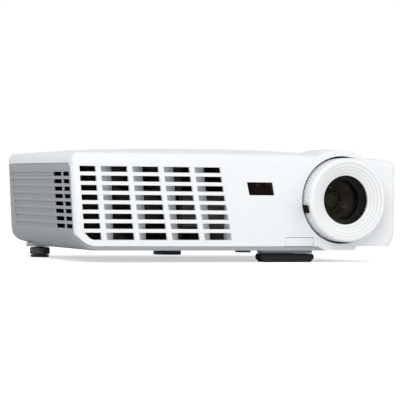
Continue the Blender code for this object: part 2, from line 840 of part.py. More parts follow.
def corner_opening():
    """The lowest opening at the left, with its rounded corner."""
    low, top = row_heights(GRILLE_ROWS - 1)
    left_top, left_low = column_edge(-1, top), column_edge(-1, low)
    outline = [(column_edge(0, low), low), (column_edge(0, top), top), (left_top, top)]
    centre = left_low + GRILLE_CORNER
    outline += arc(centre, low + GRILLE_CORNER, GRILLE_CORNER, 215, 270, 5)
    mesh = slab_along_y("corner_opening", outline, FRONT_Y - OVERRUN, FRONT_Y + WALL + OVERRUN)
    return cutter("corner_opening", mesh)


def exhaust_vanes():
    front = FRONT_Y + WALL + SEAM
    rear = front + VANE_DEPTH
    low = row_heights(GRILLE_ROWS - 1)[0] - VANE_RAIL / 2
    top = GRILLE_TOP + VANE_RAIL / 2
    right = column_edge(GRILLE_COLUMNS - 1, low) + VANE_WALL
    rails = []
    for height, lean in ((low, 1), (top, 0)):
        left = column_edge(0, height) + RIB_WIDTH - VANE_WALL * 2
        rails.append(((left, front, height - VANE_RAIL / 2), (right, rear, height + VANE_RAIL / 2)))
    item = part("exhaust_vanes", boxes("exhaust_vanes", *rails), "white_plastic")
    form = bmesh.new()
    for column in range(GRILLE_COLUMNS - 1):
        for point in add_box(form, (-1, front, low), (1, rear, top)):
            height = point.co.z
            share = (top - height) / (top - low)
            sweep = VANE_TOP_SWEEP + (VANE_LOW_SWEEP - VANE_TOP_SWEEP) * share
            place = column_edge(column, height) + RIB_WIDTH
            if point.co.x < 0:
                place -= VANE_WALL
            if point.co.y > (front + rear) / 2:
                place += sweep
            point.co.x = place
    add_box(form, (right - VANE_WALL, front, low), (right, rear, top))
    join(item, cutter("vanes", mesh_from(form, "vanes")))
    return item


# Upper shell


def lens_tool(name, radius, front, rear, sides=64):
    mesh = rods(name, radius, rear - front, [(LENS_X, (front + rear) / 2, LENS_Z)], sides, ALONG_Y)
    return cutter(name, mesh)


def window_outline(grow):
    return [
        (IR_TOP_LEFT - grow, IR_TOP + grow),
        (IR_LOW_LEFT - grow, IR_LOW - grow),
        (IR_LOW_RIGHT + grow, IR_LOW - grow),
        (IR_TOP_RIGHT + grow, IR_TOP + grow),
    ]


def key_places():
    """Name, middle and radius of each key."""
    y = FRONT_Y + KEY_BACK
    for name, (across, along) in KEY_PLACE_SHARES.items():
        radius = KEY_RADIUS if name in ("power_key", "enter_key") else SMALL_KEY_RADIUS
        yield name, KEY_X + across * KEY_SPACING, y + along * KEY_SPACING, radius


def dome_height(x, y):
    """Height of the top over a place that is well inside its edges."""
    back = y - FRONT_Y
    spread = x / (1 - 2 * SIDE_TAPER_SHARE * back / BODY_WIDTH)
    return top_height(spread, y - MID_Y, BODY_WIDTH, 0)


def key_board_top():
    return dome_height(KEY_X, FRONT_Y + KEY_BACK) - KEY_BOARD_DROP


def key_board_sides():
    places = list(key_places())
    left = min(x for _, x, _, _ in places) - KEY_BOARD_MARGIN
    right = max(x for _, x, _, _ in places) + KEY_BOARD_MARGIN
    front = min(y for _, _, y, _ in places) - KEY_BOARD_MARGIN
    rear = max(y for _, _, y, _ in places) + KEY_BOARD_MARGIN
    return left, right, front, rear


def top_cover(outer, inner):
    item = body_copy("top_cover", outer, "white_plastic")
    cut(item, inner)
    combine(item, white_region("cover_region", 0), "INTERSECT")
    sleeve_radius = COLLAR_BORE + COLLAR_SLEEVE_WALL
    sleeve = lens_tool("collar_sleeve", sleeve_radius, FRONT_Y + SEAM, FRONT_Y + COLLAR_SLEEVE)
    left, right, front, rear = key_board_sides()
    low = key_board_top() + SEAM
    inset = KEY_POST_RADIUS * 1.5
    posts = []
    for x in (left + inset, right - inset):
        for y in (front + inset, rear - inset):
            high = dome_height(x, y) - WALL / 2
            posts.append((x, y, low, high))
    join(item, sleeve, upright_rods("key_posts", KEY_POST_RADIUS, posts, 12))
    cut(item, lens_tool("collar_bore", COLLAR_BORE, FRONT_Y - OVERRUN, FRONT_Y + COLLAR_SLEEVE + OVERRUN))
    cut(item, grille_openings(), corner_opening())
    window = slab_along_y("window_hole", window_outline(SEAM), FRONT_Y - OVERRUN, FRONT_Y + WALL + OVERRUN)
    cut(item, cutter("window_hole", window))
    hole = boxes(
        "button_hole",
        (
            (BUTTON_LEFT - BUTTON_GAP, FRONT_Y - OVERRUN, FASCIA_LOW - OVERRUN),
            (BUTTON_RIGHT + BUTTON_GAP, FRONT_Y + WALL + OVERRUN, BUTTON_TOP + BUTTON_GAP),
        ),
    )
    cut(item, cutter("button_hole", hole))
    holes = []
    for _, x, y, radius in key_places():
        holes.append((x, y, radius + KEY_FIT))
    form = bmesh.new()
    for x, y, radius in holes:
        made = bmesh.ops.create_cone(
            form, cap_ends=True, segments=24, radius1=radius, radius2=radius, depth=WALL * 5
        )["verts"]
        bmesh.ops.translate(form, verts=made, vec=(x, y, dome_height(x, y)))
    width, depth = STATUS_SIZE
    x, y = KEY_X, FRONT_Y + STATUS_BACK
    half = Vector((width / 2 + SEAM, depth / 2 + SEAM, WALL * 3))
    middle = Vector((x, y, dome_height(x, y)))
    add_box(form, middle - half, middle + half)
    cut(item, cutter("top_holes", mesh_from(form, "top_holes")))
    return weld(item)


def upright_rods(name, radius, places, sides=24):
    """Upright cylinders, each given as x, y, low and high."""
    form = bmesh.new()
    for x, y, low, high in places:
        made = bmesh.ops.create_cone(
            form, cap_ends=True, segments=sides, radius1=radius, radius2=radius, depth=high - low
        )["verts"]
        bmesh.ops.translate(form, verts=made, vec=(x, y, (low + high) / 2))
    return cutter(name, mesh_from(form, name))


# Lower case


def side_place(side, back, height):
    """X of the outside of a side wall."""
    x = side * BODY_WIDTH / 2
    return (x + side_draw(x, height, 0)) * (1 - 2 * SIDE_TAPER_SHARE * back / BODY_WIDTH)


def add_side_box(form, side, start, end, low, high, depth, skin=-OVERRUN):
    """A box let into a side wall, following its slope, from a depth under the outside."""
    for point in add_box(form, (-1, start, low), (1, end, high)):
        out = point.co.x * side > 0
        x = side_place(side, point.co.y, point.co.z)
        point.co.x = x - side * (skin if out else depth)
        point.co.y += FRONT_Y


def louvre_tools():
    grooves = bmesh.new()
    slots = bmesh.new()
    pockets = bmesh.new()
    margin = SLOT_POCKET_MARGIN
    pocket_low = LOUVRE_LOW - LOUVRE_PITCH * (LOUVRE_ROWS - 1) - margin
    pocket_high = LOUVRE_LOW + SLOT_HEIGHT + margin
    pocket_end = SLOT_STARTS[1] + SLOT_LENGTHS[1] + margin
    for side in (-1, 1):
        low_start = BEZEL_DEPTH + WALL + margin
        deep = WALL + OVERRUN
        add_side_box(pockets, side, low_start, pocket_end, pocket_low, pocket_high, deep, SLOT_SKIN)
        for row in range(LOUVRE_ROWS):
            drop = LOUVRE_PITCH * row
            low = LOUVRE_LOW - drop
            lean = drop * SLOT_LEAN_SHARE
            end = LOUVRE_END - drop * LOUVRE_END_LEAN_SHARE
            start = SLOT_STARTS[1] + SLOT_LENGTHS[1] - lean + LOUVRE_GAP
            add_side_box(grooves, side, start, end, low, low + LOUVRE_HEIGHT, LOUVRE_DEPTH)
            for place, length in zip(SLOT_STARTS, SLOT_LENGTHS):
                begin = place - lean
                add_side_box(slots, side, begin, begin + length, low, low + SLOT_HEIGHT, WALL + OVERRUN)
    return [
        cutter("pockets", mesh_from(pockets, "pockets")),
        cutter("grooves", mesh_from(grooves, "grooves")),
        cutter("slots", mesh_from(slots, "slots")),
    ]


def tail_height(back):
    """Height of the underside's outer face."""
    rise_start = BODY_DEPTH - TAIL_RUN
    round_start = BODY_DEPTH - TAIL_ROUND
    if back <= rise_start:
        return UNDERSIDE
    if back <= round_start:
        return UNDERSIDE + TAIL_RISE * (back - rise_start) / (round_start - rise_start)
    over = back - round_start
    return UNDERSIDE + TAIL_RISE + TAIL_ROUND - math.sqrt(TAIL_ROUND**2 - over**2)


def socket_low():
    return TERMINAL_LOW + TRAY_RIM + SOCKET_MARGIN


def main_board_low():
    return socket_low() - SEAM - BOARD_THICK


def main_board_sides():
    rear = REAR_Y - TRAY_DEPTH - SEAM * 2
    front = rear - MAIN_BOARD_DEPTH
    left = TERMINAL_LEFT + MAIN_BOARD_MARGIN
    right = TERMINAL_LEFT + TERMINAL_WIDTH - MAIN_BOARD_MARGIN
    return left, right, front, rear


def board_posts():
    left, right, front, rear = main_board_sides()
    posts = []
    for x in (left + POST_INSET, right - POST_INSET):
        for y in (front + POST_INSET, rear - POST_INSET * 3):
            low = tail_height(y - FRONT_Y) + WALL / 2
            posts.append((x, y, low, main_board_low() - SEAM))
    width, depth = POWER_BOARD_SIZE
    y_front = FRONT_Y + POWER_BOARD_BACK
    for x in (POWER_BOARD_X - width / 2 + POST_INSET, POWER_BOARD_X + width / 2 - POST_INSET):
        for y in (y_front + POST_INSET, y_front + depth - POST_INSET):
            low = tail_height(y - FRONT_Y) + WALL / 2
            posts.append((x, y, low, FLOOR + POWER_POST))
    return upright_rods("board_posts", POST_RADIUS, posts, 12)


def bottom_case(outer, inner):
    item = body_copy("bottom_case", outer, "grey_plastic")
    cut(item, inner, white_region("case_region", SEAM))
    foot_y = FRONT_Y + REAR_FOOT_BACK
    wall_top = tail_height(REAR_FOOT_BACK) + WALL / 2
    flanges = upright_rods(
        "foot_flanges",
        FOOT_FLANGE_RADIUS,
        [(side * REAR_FOOT_X, foot_y, FOOT_FLANGE_LOW, wall_top) for side in (-1, 1)],
        32,
    )
    collars = upright_rods(
        "screw_bosses",
        SCREW_BOSS_RADIUS,
        [(side * REAR_FOOT_X, foot_y, wall_top - WALL / 4, SCREW_BOSS_TOP) for side in (-1, 1)],
        20,
    )
    boss = upright_rods("middle_boss", BOSS_RADIUS, [(BOSS_X, foot_y, BOSS_LOW, wall_top)], 32)
    small_place = [(SMALL_BOSS_X, foot_y, SMALL_BOSS_LOW, wall_top)]
    small = upright_rods("small_boss", SMALL_BOSS_RADIUS, small_place, 24)
    y = FRONT_Y + FOOT_BACK
    seat_half = (FOOT_WIDTH / 2 - FOOT_SEAT_INSET, FOOT_DEPTH / 2 - FOOT_SEAT_INSET)
    seat = boxes(
        "foot_seat",
        (
            (FOOT_X - seat_half[0], y - seat_half[1], FOOT_HEIGHT + GUIDE_GAP),
            (FOOT_X + seat_half[0], y + seat_half[1], FLOOR - WALL / 2),
        ),
    )
    join(item, flanges, collars, boss, small, board_posts(), cutter("foot_seat", seat))
    bores = [(side * REAR_FOOT_X, foot_y, -OVERRUN, SCREW_BOSS_TOP + OVERRUN) for side in (-1, 1)]
    cut(item, upright_rods("screw_bores", SCREW_RADIUS + SEAM, bores, 20))
    bosses = ((BOSS_X, BOSS_LOW), (SMALL_BOSS_X, SMALL_BOSS_LOW))
    drills = [(x, foot_y, -OVERRUN, low + BOSS_HOLE_DEPTH) for x, low in bosses]
    cut(item, upright_rods("boss_holes", BOSS_HOLE, drills, 16))
    cut(item, *louvre_tools())
    gap = GUIDE_GAP
    door_width, door_depth = LAMP_DOOR_SIZE
    door_y = FRONT_Y + LAMP_BACK
    low, high = -OVERRUN, FLOOR + OVERRUN
    floor_holes = boxes(
        "floor_holes",
        (
            (FOOT_X - STEM_WIDTH / 2 - gap, y - STEM_DEPTH / 2 - gap, low),
            (FOOT_X + STEM_WIDTH / 2 + gap, y + STEM_DEPTH / 2 + gap, high),
        ),
        (
            (LAMP_X - door_width / 2, door_y - door_depth / 2, low),
            (LAMP_X + door_width / 2, door_y + door_depth / 2, high),
        ),
    )
    cut(item, cutter("floor_holes", floor_holes))
    inside, outside = REAR_Y - WALL - OVERRUN, REAR_Y + OVERRUN
    rear_holes = boxes(
        "rear_holes",
        (
            (TERMINAL_LEFT - SEAM, inside, TERMINAL_LOW - SEAM),
            (TERMINAL_LEFT + TERMINAL_WIDTH + SEAM, outside, TERMINAL_LOW + TERMINAL_HEIGHT + SEAM),
        ),
        (
            (INLET_X - INLET_WIDTH / 2 - SEAM, inside, INLET_LOW - SEAM),
            (INLET_X + INLET_WIDTH / 2 + SEAM, outside, INLET_LOW + INLET_HEIGHT + SEAM),
        ),
    )
    cut(item, cutter("rear_holes", rear_holes))
    return weld(item)


def lamp_door():
    width, depth = LAMP_DOOR_SIZE
    y = FRONT_Y + LAMP_BACK
    mesh = boxes(
        "lamp_door",
        (
            (LAMP_X - width / 2 + SEAM, y - depth / 2 + SEAM, UNDERSIDE),
            (LAMP_X + width / 2 - SEAM, y + depth / 2 - SEAM, FLOOR),
        ),
    )
    door = part("lamp_door", mesh, "grey_plastic")
    screw_y = y + depth / 2 - LAMP_DOOR_SCREW * 2
    place = (LAMP_X, screw_y)
    hole_place = [(*place, UNDERSIDE - OVERRUN, FLOOR + OVERRUN)]
    cut(door, upright_rods("door_hole", LAMP_DOOR_SCREW + SEAM, hole_place, 20))
    shank = rods("lamp_door_screw", LAMP_DOOR_SCREW, WALL - SEAM, [(0, 0, 0)], 20)
    screw = part("lamp_door_screw", shank, "steel", True)
    screw.location = (*place, UNDERSIDE + (WALL + SEAM) / 2)
    slot = boxes(
        "door_screw_slot",
        (
            (LAMP_X - LAMP_DOOR_SCREW * 0.7, screw_y - LAMP_DOOR_SCREW / 8, UNDERSIDE - OVERRUN),
            (LAMP_X + LAMP_DOOR_SCREW * 0.7, screw_y + LAMP_DOOR_SCREW / 8, UNDERSIDE + WALL / 2),
        ),
    )
    cut(screw, cutter("door_screw_slot", slot))


# Feet


def tilt_foot():
    chamfer = FOOT_CHAMFER
    half = FOOT_WIDTH / 2
    outline = [
        (-half + chamfer, 0),
        (half - chamfer, 0),
        (half, chamfer),
        (half, FOOT_HEIGHT - chamfer / 2),
        (half - chamfer / 2, FOOT_HEIGHT),
        (-half + chamfer / 2, FOOT_HEIGHT),
        (-half, FOOT_HEIGHT - chamfer / 2),
        (-half, chamfer),
    ]
    mesh = slab_along_y("tilt_foot", outline, -FOOT_DEPTH / 2, FOOT_DEPTH / 2)
    foot = part("tilt_foot", mesh, "charcoal_plastic")
    foot.location = (FOOT_X, FRONT_Y + FOOT_BACK, 0)
    y = FRONT_Y + FOOT_BACK
    stem = boxes(
        "foot_stem",
        (
            (FOOT_X - STEM_WIDTH / 2, y - STEM_DEPTH / 2, FOOT_HEIGHT / 2),
            (FOOT_X + STEM_WIDTH / 2, y + STEM_DEPTH / 2, STEM_TOP),
        ),
    )
    join(foot, cutter("foot_stem", stem))
    outer_x, outer_y = STEM_WIDTH / 2 + GUIDE_GAP + GUIDE_WALL, STEM_DEPTH / 2 + GUIDE_GAP + GUIDE_WALL
    guide_mesh = boxes("foot_guide", ((-outer_x, -outer_y, SEAT), (outer_x, outer_y, GUIDE_TOP)))
    guide = part("foot_guide", guide_mesh, "dark_plastic")
    guide.location = (FOOT_X, y, 0)
    bore_x, bore_y = STEM_WIDTH / 2 + GUIDE_GAP, STEM_DEPTH / 2 + GUIDE_GAP
    bore = boxes(
        "guide_bore",
        ((FOOT_X - bore_x, y - bore_y, 0), (FOOT_X + bore_x, y + bore_y, GUIDE_TOP + OVERRUN)),
    )
    cut(guide, cutter("guide_bore", bore))


def foot_button():
    middle = ((BUTTON_LEFT + BUTTON_RIGHT) / 2, FRONT_Y, (BUTTON_LOW + BUTTON_TOP) / 2)
    half_x, half_z = (BUTTON_RIGHT - BUTTON_LEFT) / 2, (BUTTON_TOP - BUTTON_LOW) / 2
    face = boxes("foot_button", ((-half_x, SEAM, -half_z), (half_x, BUTTON_THICK, half_z)))
    button = part("foot_button", face, "white_plastic")
    button.location = middle
    guide_front = FOOT_BACK - STEM_DEPTH / 2 - GUIDE_GAP - GUIDE_WALL
    finger_end = guide_front - BUTTON_TRAVEL - SEAM
    flange_front = WALL + SEAM
    x, y, z = middle
    grip = half_x + BUTTON_FLANGE
    flange = boxes(
        "button_flange",
        ((x - grip, y + flange_front, z - half_z), (x + grip, y + BUTTON_THICK, z + half_z + BUTTON_FLANGE)),
    )
    finger = boxes(
        "button_finger",
        (
            (FOOT_X - BUTTON_FINGER, y + BUTTON_THICK - BUTTON_FLANGE, z - half_z),
            (FOOT_X + BUTTON_FINGER, y + finger_end, z + half_z),
        ),
    )
    join(button, cutter("button_flange", flange), cutter("button_finger", finger))


def rear_foot(side, name):
    x, y = side * REAR_FOOT_X, FRONT_Y + REAR_FOOT_BACK
    pad_mesh = rods(f"{name}_pad", PAD_RADIUS, PAD_HEIGHT, [(0, 0, PAD_HEIGHT / 2)], 32)
    pad = part(f"{name}_pad", pad_mesh, "rubber", True)
    pad.location = (x, y, 0)
    low = PAD_HEIGHT + SEAM
    knob_mesh = rods(f"{name}_knob", REAR_FOOT_RADIUS, KNOB_TOP - low, [(0, 0, (KNOB_TOP + low) / 2)], 32)
    knob = part(f"{name}_knob", knob_mesh, "charcoal_plastic", True)
    knob.location = (x, y, 0)
    join(knob, upright_rods(f"{name}_screw", SCREW_RADIUS, [(x, y, KNOB_TOP - WALL / 2, SCREW_TOP)], 16))


# Lens


def lens_part(name, profile, finish, steps=56, closed=True):
    """A turned part on the lens axis. The profile gives radius and distance back from the front face."""
    mesh = turned(name, [(radius, -back) for radius, back in profile], steps, closed)
    item = part(name, mesh, finish)
    item.location = (LENS_X, FRONT_Y, LENS_Z)
    item.rotation_euler = ALONG_Y
    return item


def lens_parts():
    seat = CELL_RADIUS + SEAM + BARREL_WALL + SEAM
    skirt = RING_RADIUS - RING_WALL
    rim = RING_RADIUS - RING_RIM
    front = -RING_PROUD
    lip = -(RING_PROUD - RING_OPENING_BACK)
    web = RING_SKIRT - RING_WALL * 1.5
    slope = (rim - RING_OPENING, lip - front)
    profile = [
        (rim, front),
        (RING_RADIUS - RING_RIM * 0.3, front + RING_RIM * 0.3),
        (RING_RADIUS, front + RING_RIM),
        (RING_RADIUS, RING_SKIRT),
        (seat, RING_SKIRT),
        (seat, web),
        (skirt, web),
        (skirt, lip - RING_WALL / 2),
        (RING_OPENING + RING_WALL, lip + RING_WALL * 1.4),
        (RING_OPENING, lip + RING_WALL),
        (RING_OPENING, lip),
    ]
    for share in RING_STEP_SHARES:
        radius = RING_OPENING + slope[0] * share
        back = lip - slope[1] * share
        profile += [(radius, back), (radius + RING_STEP / 2, back - RING_STEP)]
    ring = lens_part("focus_ring", profile, "white_plastic", KNURL_COUNT)
    knurls = bmesh.new()
    for index in range(KNURL_COUNT):
        width = math.pi * RING_RADIUS / KNURL_COUNT / 2
        made = add_box(
            knurls,
            (RING_RADIUS - KNURL_DEPTH, -width, -RING_SKIRT - OVERRUN),
            (RING_RADIUS + OVERRUN, width, RING_PROUD - KNURL_FRONT),
        )
        angle = 2 * math.pi * (index + 0.5) / KNURL_COUNT
        bmesh.ops.rotate(knurls, verts=made, matrix=turning(angle, "Z"))
    tool = cutter("knurls", mesh_from(knurls, "knurls"))
    tool.location = ring.location
    tool.rotation_euler = ring.rotation_euler
    cut(ring, tool)

    inner = ZOOM_RING_BACK
    zoom = lens_part(
        "zoom_ring",
        [
            (ZOOM_RING_RADIUS, inner),
            (ZOOM_RING_RADIUS, inner + ZOOM_RING_LENGTH),
            (seat, inner + ZOOM_RING_LENGTH),
            (seat, inner),
        ],
        "dark_plastic",
    )
    lever_low = RING_RADIUS + SEAM * 1.5
    form = bmesh.new()
    made = add_box(
        form,
        (lever_low, -LEVER_WIDTH / 2, -inner - ZOOM_RING_LENGTH / 2),
        (lever_low + LEVER_THICK, LEVER_WIDTH / 2, LEVER_REACH),
    )
    bmesh.ops.rotate(form, verts=made, matrix=turning(LEVER_ANGLE, "Z"))
    lever = cutter("zoom_lever", mesh_from(form, "zoom_lever"))
    lever.location = zoom.location
    lever.rotation_euler = zoom.rotation_euler
    join(zoom, lever)

    bore = CELL_RADIUS + SEAM
    shoulder = CELL_REAR + CELL_TRAVEL + SEAM * 2
    lens_part(
        "lens_barrel",
        [
            (bore + BARREL_WALL, BARREL_FRONT),
            (bore + BARREL_WALL, BARREL_REAR - BARREL_FLANGE),
            (BARREL_FLANGE_RADIUS, BARREL_REAR - BARREL_FLANGE),
            (BARREL_FLANGE_RADIUS, BARREL_REAR),
            (REAR_GLASS_RADIUS + SEAM, BARREL_REAR),
            (REAR_GLASS_RADIUS + SEAM, shoulder),
            (bore, shoulder),
            (bore, BARREL_FRONT),
        ],
        "dark_plastic",
    )
    throat = CELL_BORE - CELL_LIP
    lens_part(
        "lens_cell",
        [
            (CELL_RADIUS, CELL_FRONT),
            (CELL_RADIUS, CELL_REAR),
            (CELL_BORE, CELL_REAR),
            (CELL_BORE, CELL_FRONT + CELL_LIP_DEPTH),
            (throat, CELL_FRONT + CELL_LIP_DEPTH),
            (CELL_LIP_BORE, CELL_FRONT),
        ],
        "dark_plastic",
    )
    glass_front = CELL_FRONT + CELL_LIP_DEPTH + SEAM
    radius = CELL_BORE - SEAM
    profile = glass_profile(radius, throat, glass_front, FRONT_GLASS_EDGE, FRONT_GLASS_BULGE)
    lens_part("front_lens", profile, "glass", 48, False)
    radius = REAR_GLASS_RADIUS
    profile = glass_profile(radius, radius, REAR_GLASS_BACK, REAR_GLASS_THICK, RING_STEP)
    lens_part("rear_lens", profile, "glass", 36, False)


def glass_profile(radius, dome_radius, front, edge, bulge):
    """Half section of a lens, from the pole in front to the pole behind."""
    steps = 5
    points = []
    for index in range(steps):
        share = index / steps
        points.append((dome_radius * share, front - bulge * (1 - share**2)))
    points[0] = (0, points[0][1])
    if dome_radius < radius:
        points.append((dome_radius - SEAM, front))
    flat = front + edge + SEAM
    points += [(radius, front), (radius, front + edge), (radius * GLASS_FLAT_SHARE, flat), (0, flat)]
    return points


# Window, keys and status light


def window_parts():
    front = FRONT_Y + IR_SET_IN
    mesh = slab_along_y("ir_window", window_outline(0), front, front + IR_THICK)
    part("ir_window", mesh, "window")
    x = (IR_TOP_LEFT + IR_LOW_RIGHT) / 2
    z = (IR_TOP + IR_LOW) / 2
    width, depth, height = IR_EYE_SIZE
    eye_front = front + IR_THICK + SEAM
    corners = ((-width / 2, eye_front, -height / 2), (width / 2, eye_front + depth, height / 2))
    eye = boxes("ir_receiver", corners)
    item = part("ir_receiver", eye, "dark_plastic")
    item.location = (x, 0, z)
    wide, thick, tall = IR_BOARD_SIZE
    board_front = eye_front + depth - SEAM
    board = boxes(
        "ir_board",
        ((x - wide / 2, board_front, z - tall / 2), (x + wide / 2, board_front + thick, z + tall / 2)),
    )
    join(item, cutter("ir_board", board))


def keys():
    board_top = key_board_top()
    left, right, front, rear = key_board_sides()
    board = boxes("key_board", ((left, front, board_top - BOARD_THICK), (right, rear, board_top)))
    part("key_board", board, "board")
    low = board_top + KEY_TRAVEL + SEAM
    for name, x, y, radius in key_places():
        top = dome_height(x, y) + KEY_PROUD
        mesh = rods(name, radius, top - low, [(0, 0, 0)], 24)
        key = part(name, mesh, "grey_plastic", True)
        key.location = (x, y, (top + low) / 2)
    width, depth = STATUS_SIZE
    y = FRONT_Y + STATUS_BACK
    top = dome_height(KEY_X, y)
    corners = ((-width / 2, -depth / 2, board_top + SEAM - top), (width / 2, depth / 2, 0))
    lens = boxes("status_light", corners)
    item = part("status_light", lens, "glass")
    item.location = (KEY_X, y, top)


# Cooling


def exhaust_fan():
    half = FAN_SIZE / 2
    z = SEAT + half
    front = FRONT_Y + FAN_BACK
    rear = front + FAN_DEPTH
    square = boxes("fan", ((-half, 0, -half), (half, FAN_DEPTH, half)))
    frame = part("exhaust_fan_frame", square, "dark_plastic")
    frame.location = (FAN_X, front, z)
    bore = rods("fan_bore", FAN_BORE, FAN_DEPTH * 3, [(FAN_X, front, z)], 40, ALONG_Y)
    cut(frame, cutter("fan_bore", bore))
    strut = FAN_STRUT / 2
    arms = boxes(
        "fan_arms",
        (
            (FAN_X - FAN_BORE - strut, rear - FAN_STRUT_DEPTH + SEAM, z - strut),
            (FAN_X + FAN_BORE + strut, rear - SEAM, z + strut),
        ),
    )
    upright = boxes(
        "fan_upright",
        (
            (FAN_X - strut, rear - FAN_STRUT_DEPTH + SEAM * 2, z - FAN_BORE - strut),
            (FAN_X + strut, rear - SEAM * 2, z + FAN_BORE + strut),
        ),
    )
    mount_middle = rear - FAN_STRUT_DEPTH / 2
    mount = rods("fan_mount", FAN_HUB, FAN_STRUT_DEPTH, [(FAN_X, mount_middle, z)], 32, ALONG_Y)
    join(frame, cutter("fan_arms", arms), cutter("fan_upright", upright), cutter("fan_mount", mount))

    hub_length = FAN_DEPTH - FAN_STRUT_DEPTH - SEAM * 2
    hub = rods("exhaust_fan_rotor", FAN_HUB, hub_length, [(0, 0, 0)], 32)
    rotor = part("exhaust_fan_rotor", hub, "dark_plastic", True)
    middle = front + SEAM + hub_length / 2
    rotor.location = (FAN_X, middle, z)
    rotor.rotation_euler = ALONG_Y
    blades = bmesh.new()
    for index in range(FAN_BLADES):
        made = add_box(
            blades,
            (FAN_HUB - FAN_BLADE_THICK, -FAN_BLADE_THICK / 2, -FAN_BLADE_CHORD / 2),
            (FAN_TIP, FAN_BLADE_THICK / 2, FAN_BLADE_CHORD / 2),
        )
        bmesh.ops.rotate(blades, verts=made, matrix=turning(FAN_BLADE_PITCH, "X"))
        angle = 2 * math.pi * index / FAN_BLADES
        bmesh.ops.rotate(blades, verts=made, matrix=turning(angle, "Z"))
    tool = cutter("fan_blades", mesh_from(blades, "fan_blades"))
    tool.location = rotor.location
    tool.rotation_euler = rotor.rotation_euler
    join(rotor, tool)


def blower():
    y = FRONT_Y + BLOWER_BACK
    top = SEAT + BLOWER_HEIGHT
    case = upright_rods("scroll", BLOWER_RADIUS, [(BLOWER_X, y, SEAT, top)], 40)
    settled = settle_now(case)
    item = part("blower_case", settled, "dark_plastic")
    left = BLOWER_X - BLOWER_OUTLET_REACH
    rear = y + BLOWER_RADIUS
    outlet = boxes("outlet", ((left, rear - BLOWER_OUTLET, SEAT), (BLOWER_X, rear - SEAM, top)))
    join(item, cutter("outlet", outlet))
    wall = BLOWER_WALL
    inside = [(BLOWER_X, y, SEAT + wall, top - wall)]
    hollow = upright_rods("scroll_hollow", BLOWER_RADIUS - wall, inside, 40)
    duct = boxes(
        "outlet_hollow",
        (
            (left - OVERRUN, rear - BLOWER_OUTLET + wall, SEAT + wall),
            (BLOWER_X, rear - wall - SEAM, top - wall),
        ),
    )
    through = [(BLOWER_X, y, top - wall - OVERRUN, top + OVERRUN)]
    hole = upright_rods("blower_hole", BLOWER_INLET, through, 32)
    cut(item, hollow, cutter("outlet_hollow", duct), hole)

    low, high = SEAT + wall + SEAM, top - wall - SEAM
    middle = (low + high) / 2
    hub = rods("blower_wheel", BLOWER_HUB, high - low, [(0, 0, 0)], 24)
    wheel = part("blower_wheel", hub, "dark_plastic", True)
    wheel.location = (BLOWER_X, y, middle)
    disc = upright_rods("blower_disc", BLOWER_WHEEL, [(BLOWER_X, y, low, low + BLOWER_DISC)], 32)
    fins = bmesh.new()
    for index in range(BLOWER_FINS):
        made = add_box(
            fins,
            (BLOWER_INLET * 0.8, -BLOWER_FIN_THICK / 2, low - middle + BLOWER_DISC / 2),
            (BLOWER_WHEEL - SEAM, BLOWER_FIN_THICK / 2, high - middle),
        )
        bmesh.ops.rotate(fins, verts=made, matrix=turning(2 * math.pi * index / BLOWER_FINS, "Z"))
    tool = cutter("blower_fins", mesh_from(fins, "blower_fins"))
    tool.location = wheel.location
    join(wheel, disc, tool)


def settle_now(item):
    bpy.context.view_layer.update()
    return settle(item)


# Lamp


def lamp():
    width, depth, height = LAMP_SIZE
    y, z = FRONT_Y + LAMP_BACK, SEAT + height / 2
    wall = LAMP_WALL
    corners = ((-width / 2, -depth / 2, -height / 2), (width / 2, depth / 2, height / 2))
    mesh = boxes("lamp_housing", corners)
    housing = part("lamp_housing", mesh, "dark_plastic")
    housing.location = (LAMP_X, y, z)
    hollow = boxes(
        "lamp_hollow",
        (
            (LAMP_X - width / 2 + wall, y - depth / 2 + wall, z - height / 2 + wall),
            (LAMP_X + width / 2 + OVERRUN, y + depth / 2 - wall, z + height / 2 - wall),
        ),
    )
    cut(housing, cutter("lamp_hollow", hollow))
    rim = depth / 2 - wall - SEAM
    neck = REFLECTOR_NECK
    skin = REFLECTOR_WALL
    outer = []
    inner = []
    for index in range(7):
        share = index / 6
        back = -REFLECTOR_DEPTH * share
        radius = neck + (rim - neck) * math.sqrt(1 - share)
        outer.append((radius, back))
        inner.append((radius - skin, back))
    outer[-1] = (neck, -REFLECTOR_DEPTH)
    inner[-1] = (neck - skin / 2, -REFLECTOR_DEPTH)
    neck_end = -REFLECTOR_DEPTH - BURNER_TAIL / 2
    profile = outer + [(neck, neck_end), (neck - skin / 2, neck_end)] + inner[::-1]
    reflector = part("lamp_reflector", turned("lamp_reflector", profile, 36), "mirror")
    reflector.location = (LAMP_X + width / 2 - REFLECTOR_SET_IN, y, z)
    reflector.rotation_euler = ALONG_X
    stem = neck - skin / 2 - SEAM
    front = -REFLECTOR_DEPTH - BURNER_TAIL + BURNER_LENGTH
    bulb = -REFLECTOR_DEPTH + BURNER_BULB * 1.8
    profile = [
        (0, front),
        (stem / 2, front - stem / 2),
        (stem / 2, bulb + BURNER_BULB),
        (BURNER_BULB, bulb),
        (stem, bulb - BURNER_BULB),
        (stem, -REFLECTOR_DEPTH - BURNER_TAIL),
        (0, -REFLECTOR_DEPTH - BURNER_TAIL),
    ]
    burner = part("lamp_burner", turned("lamp_burner", profile, 24, closed=False), "ceramic")
    burner.location = reflector.location
    burner.rotation_euler = ALONG_X


# Light engine


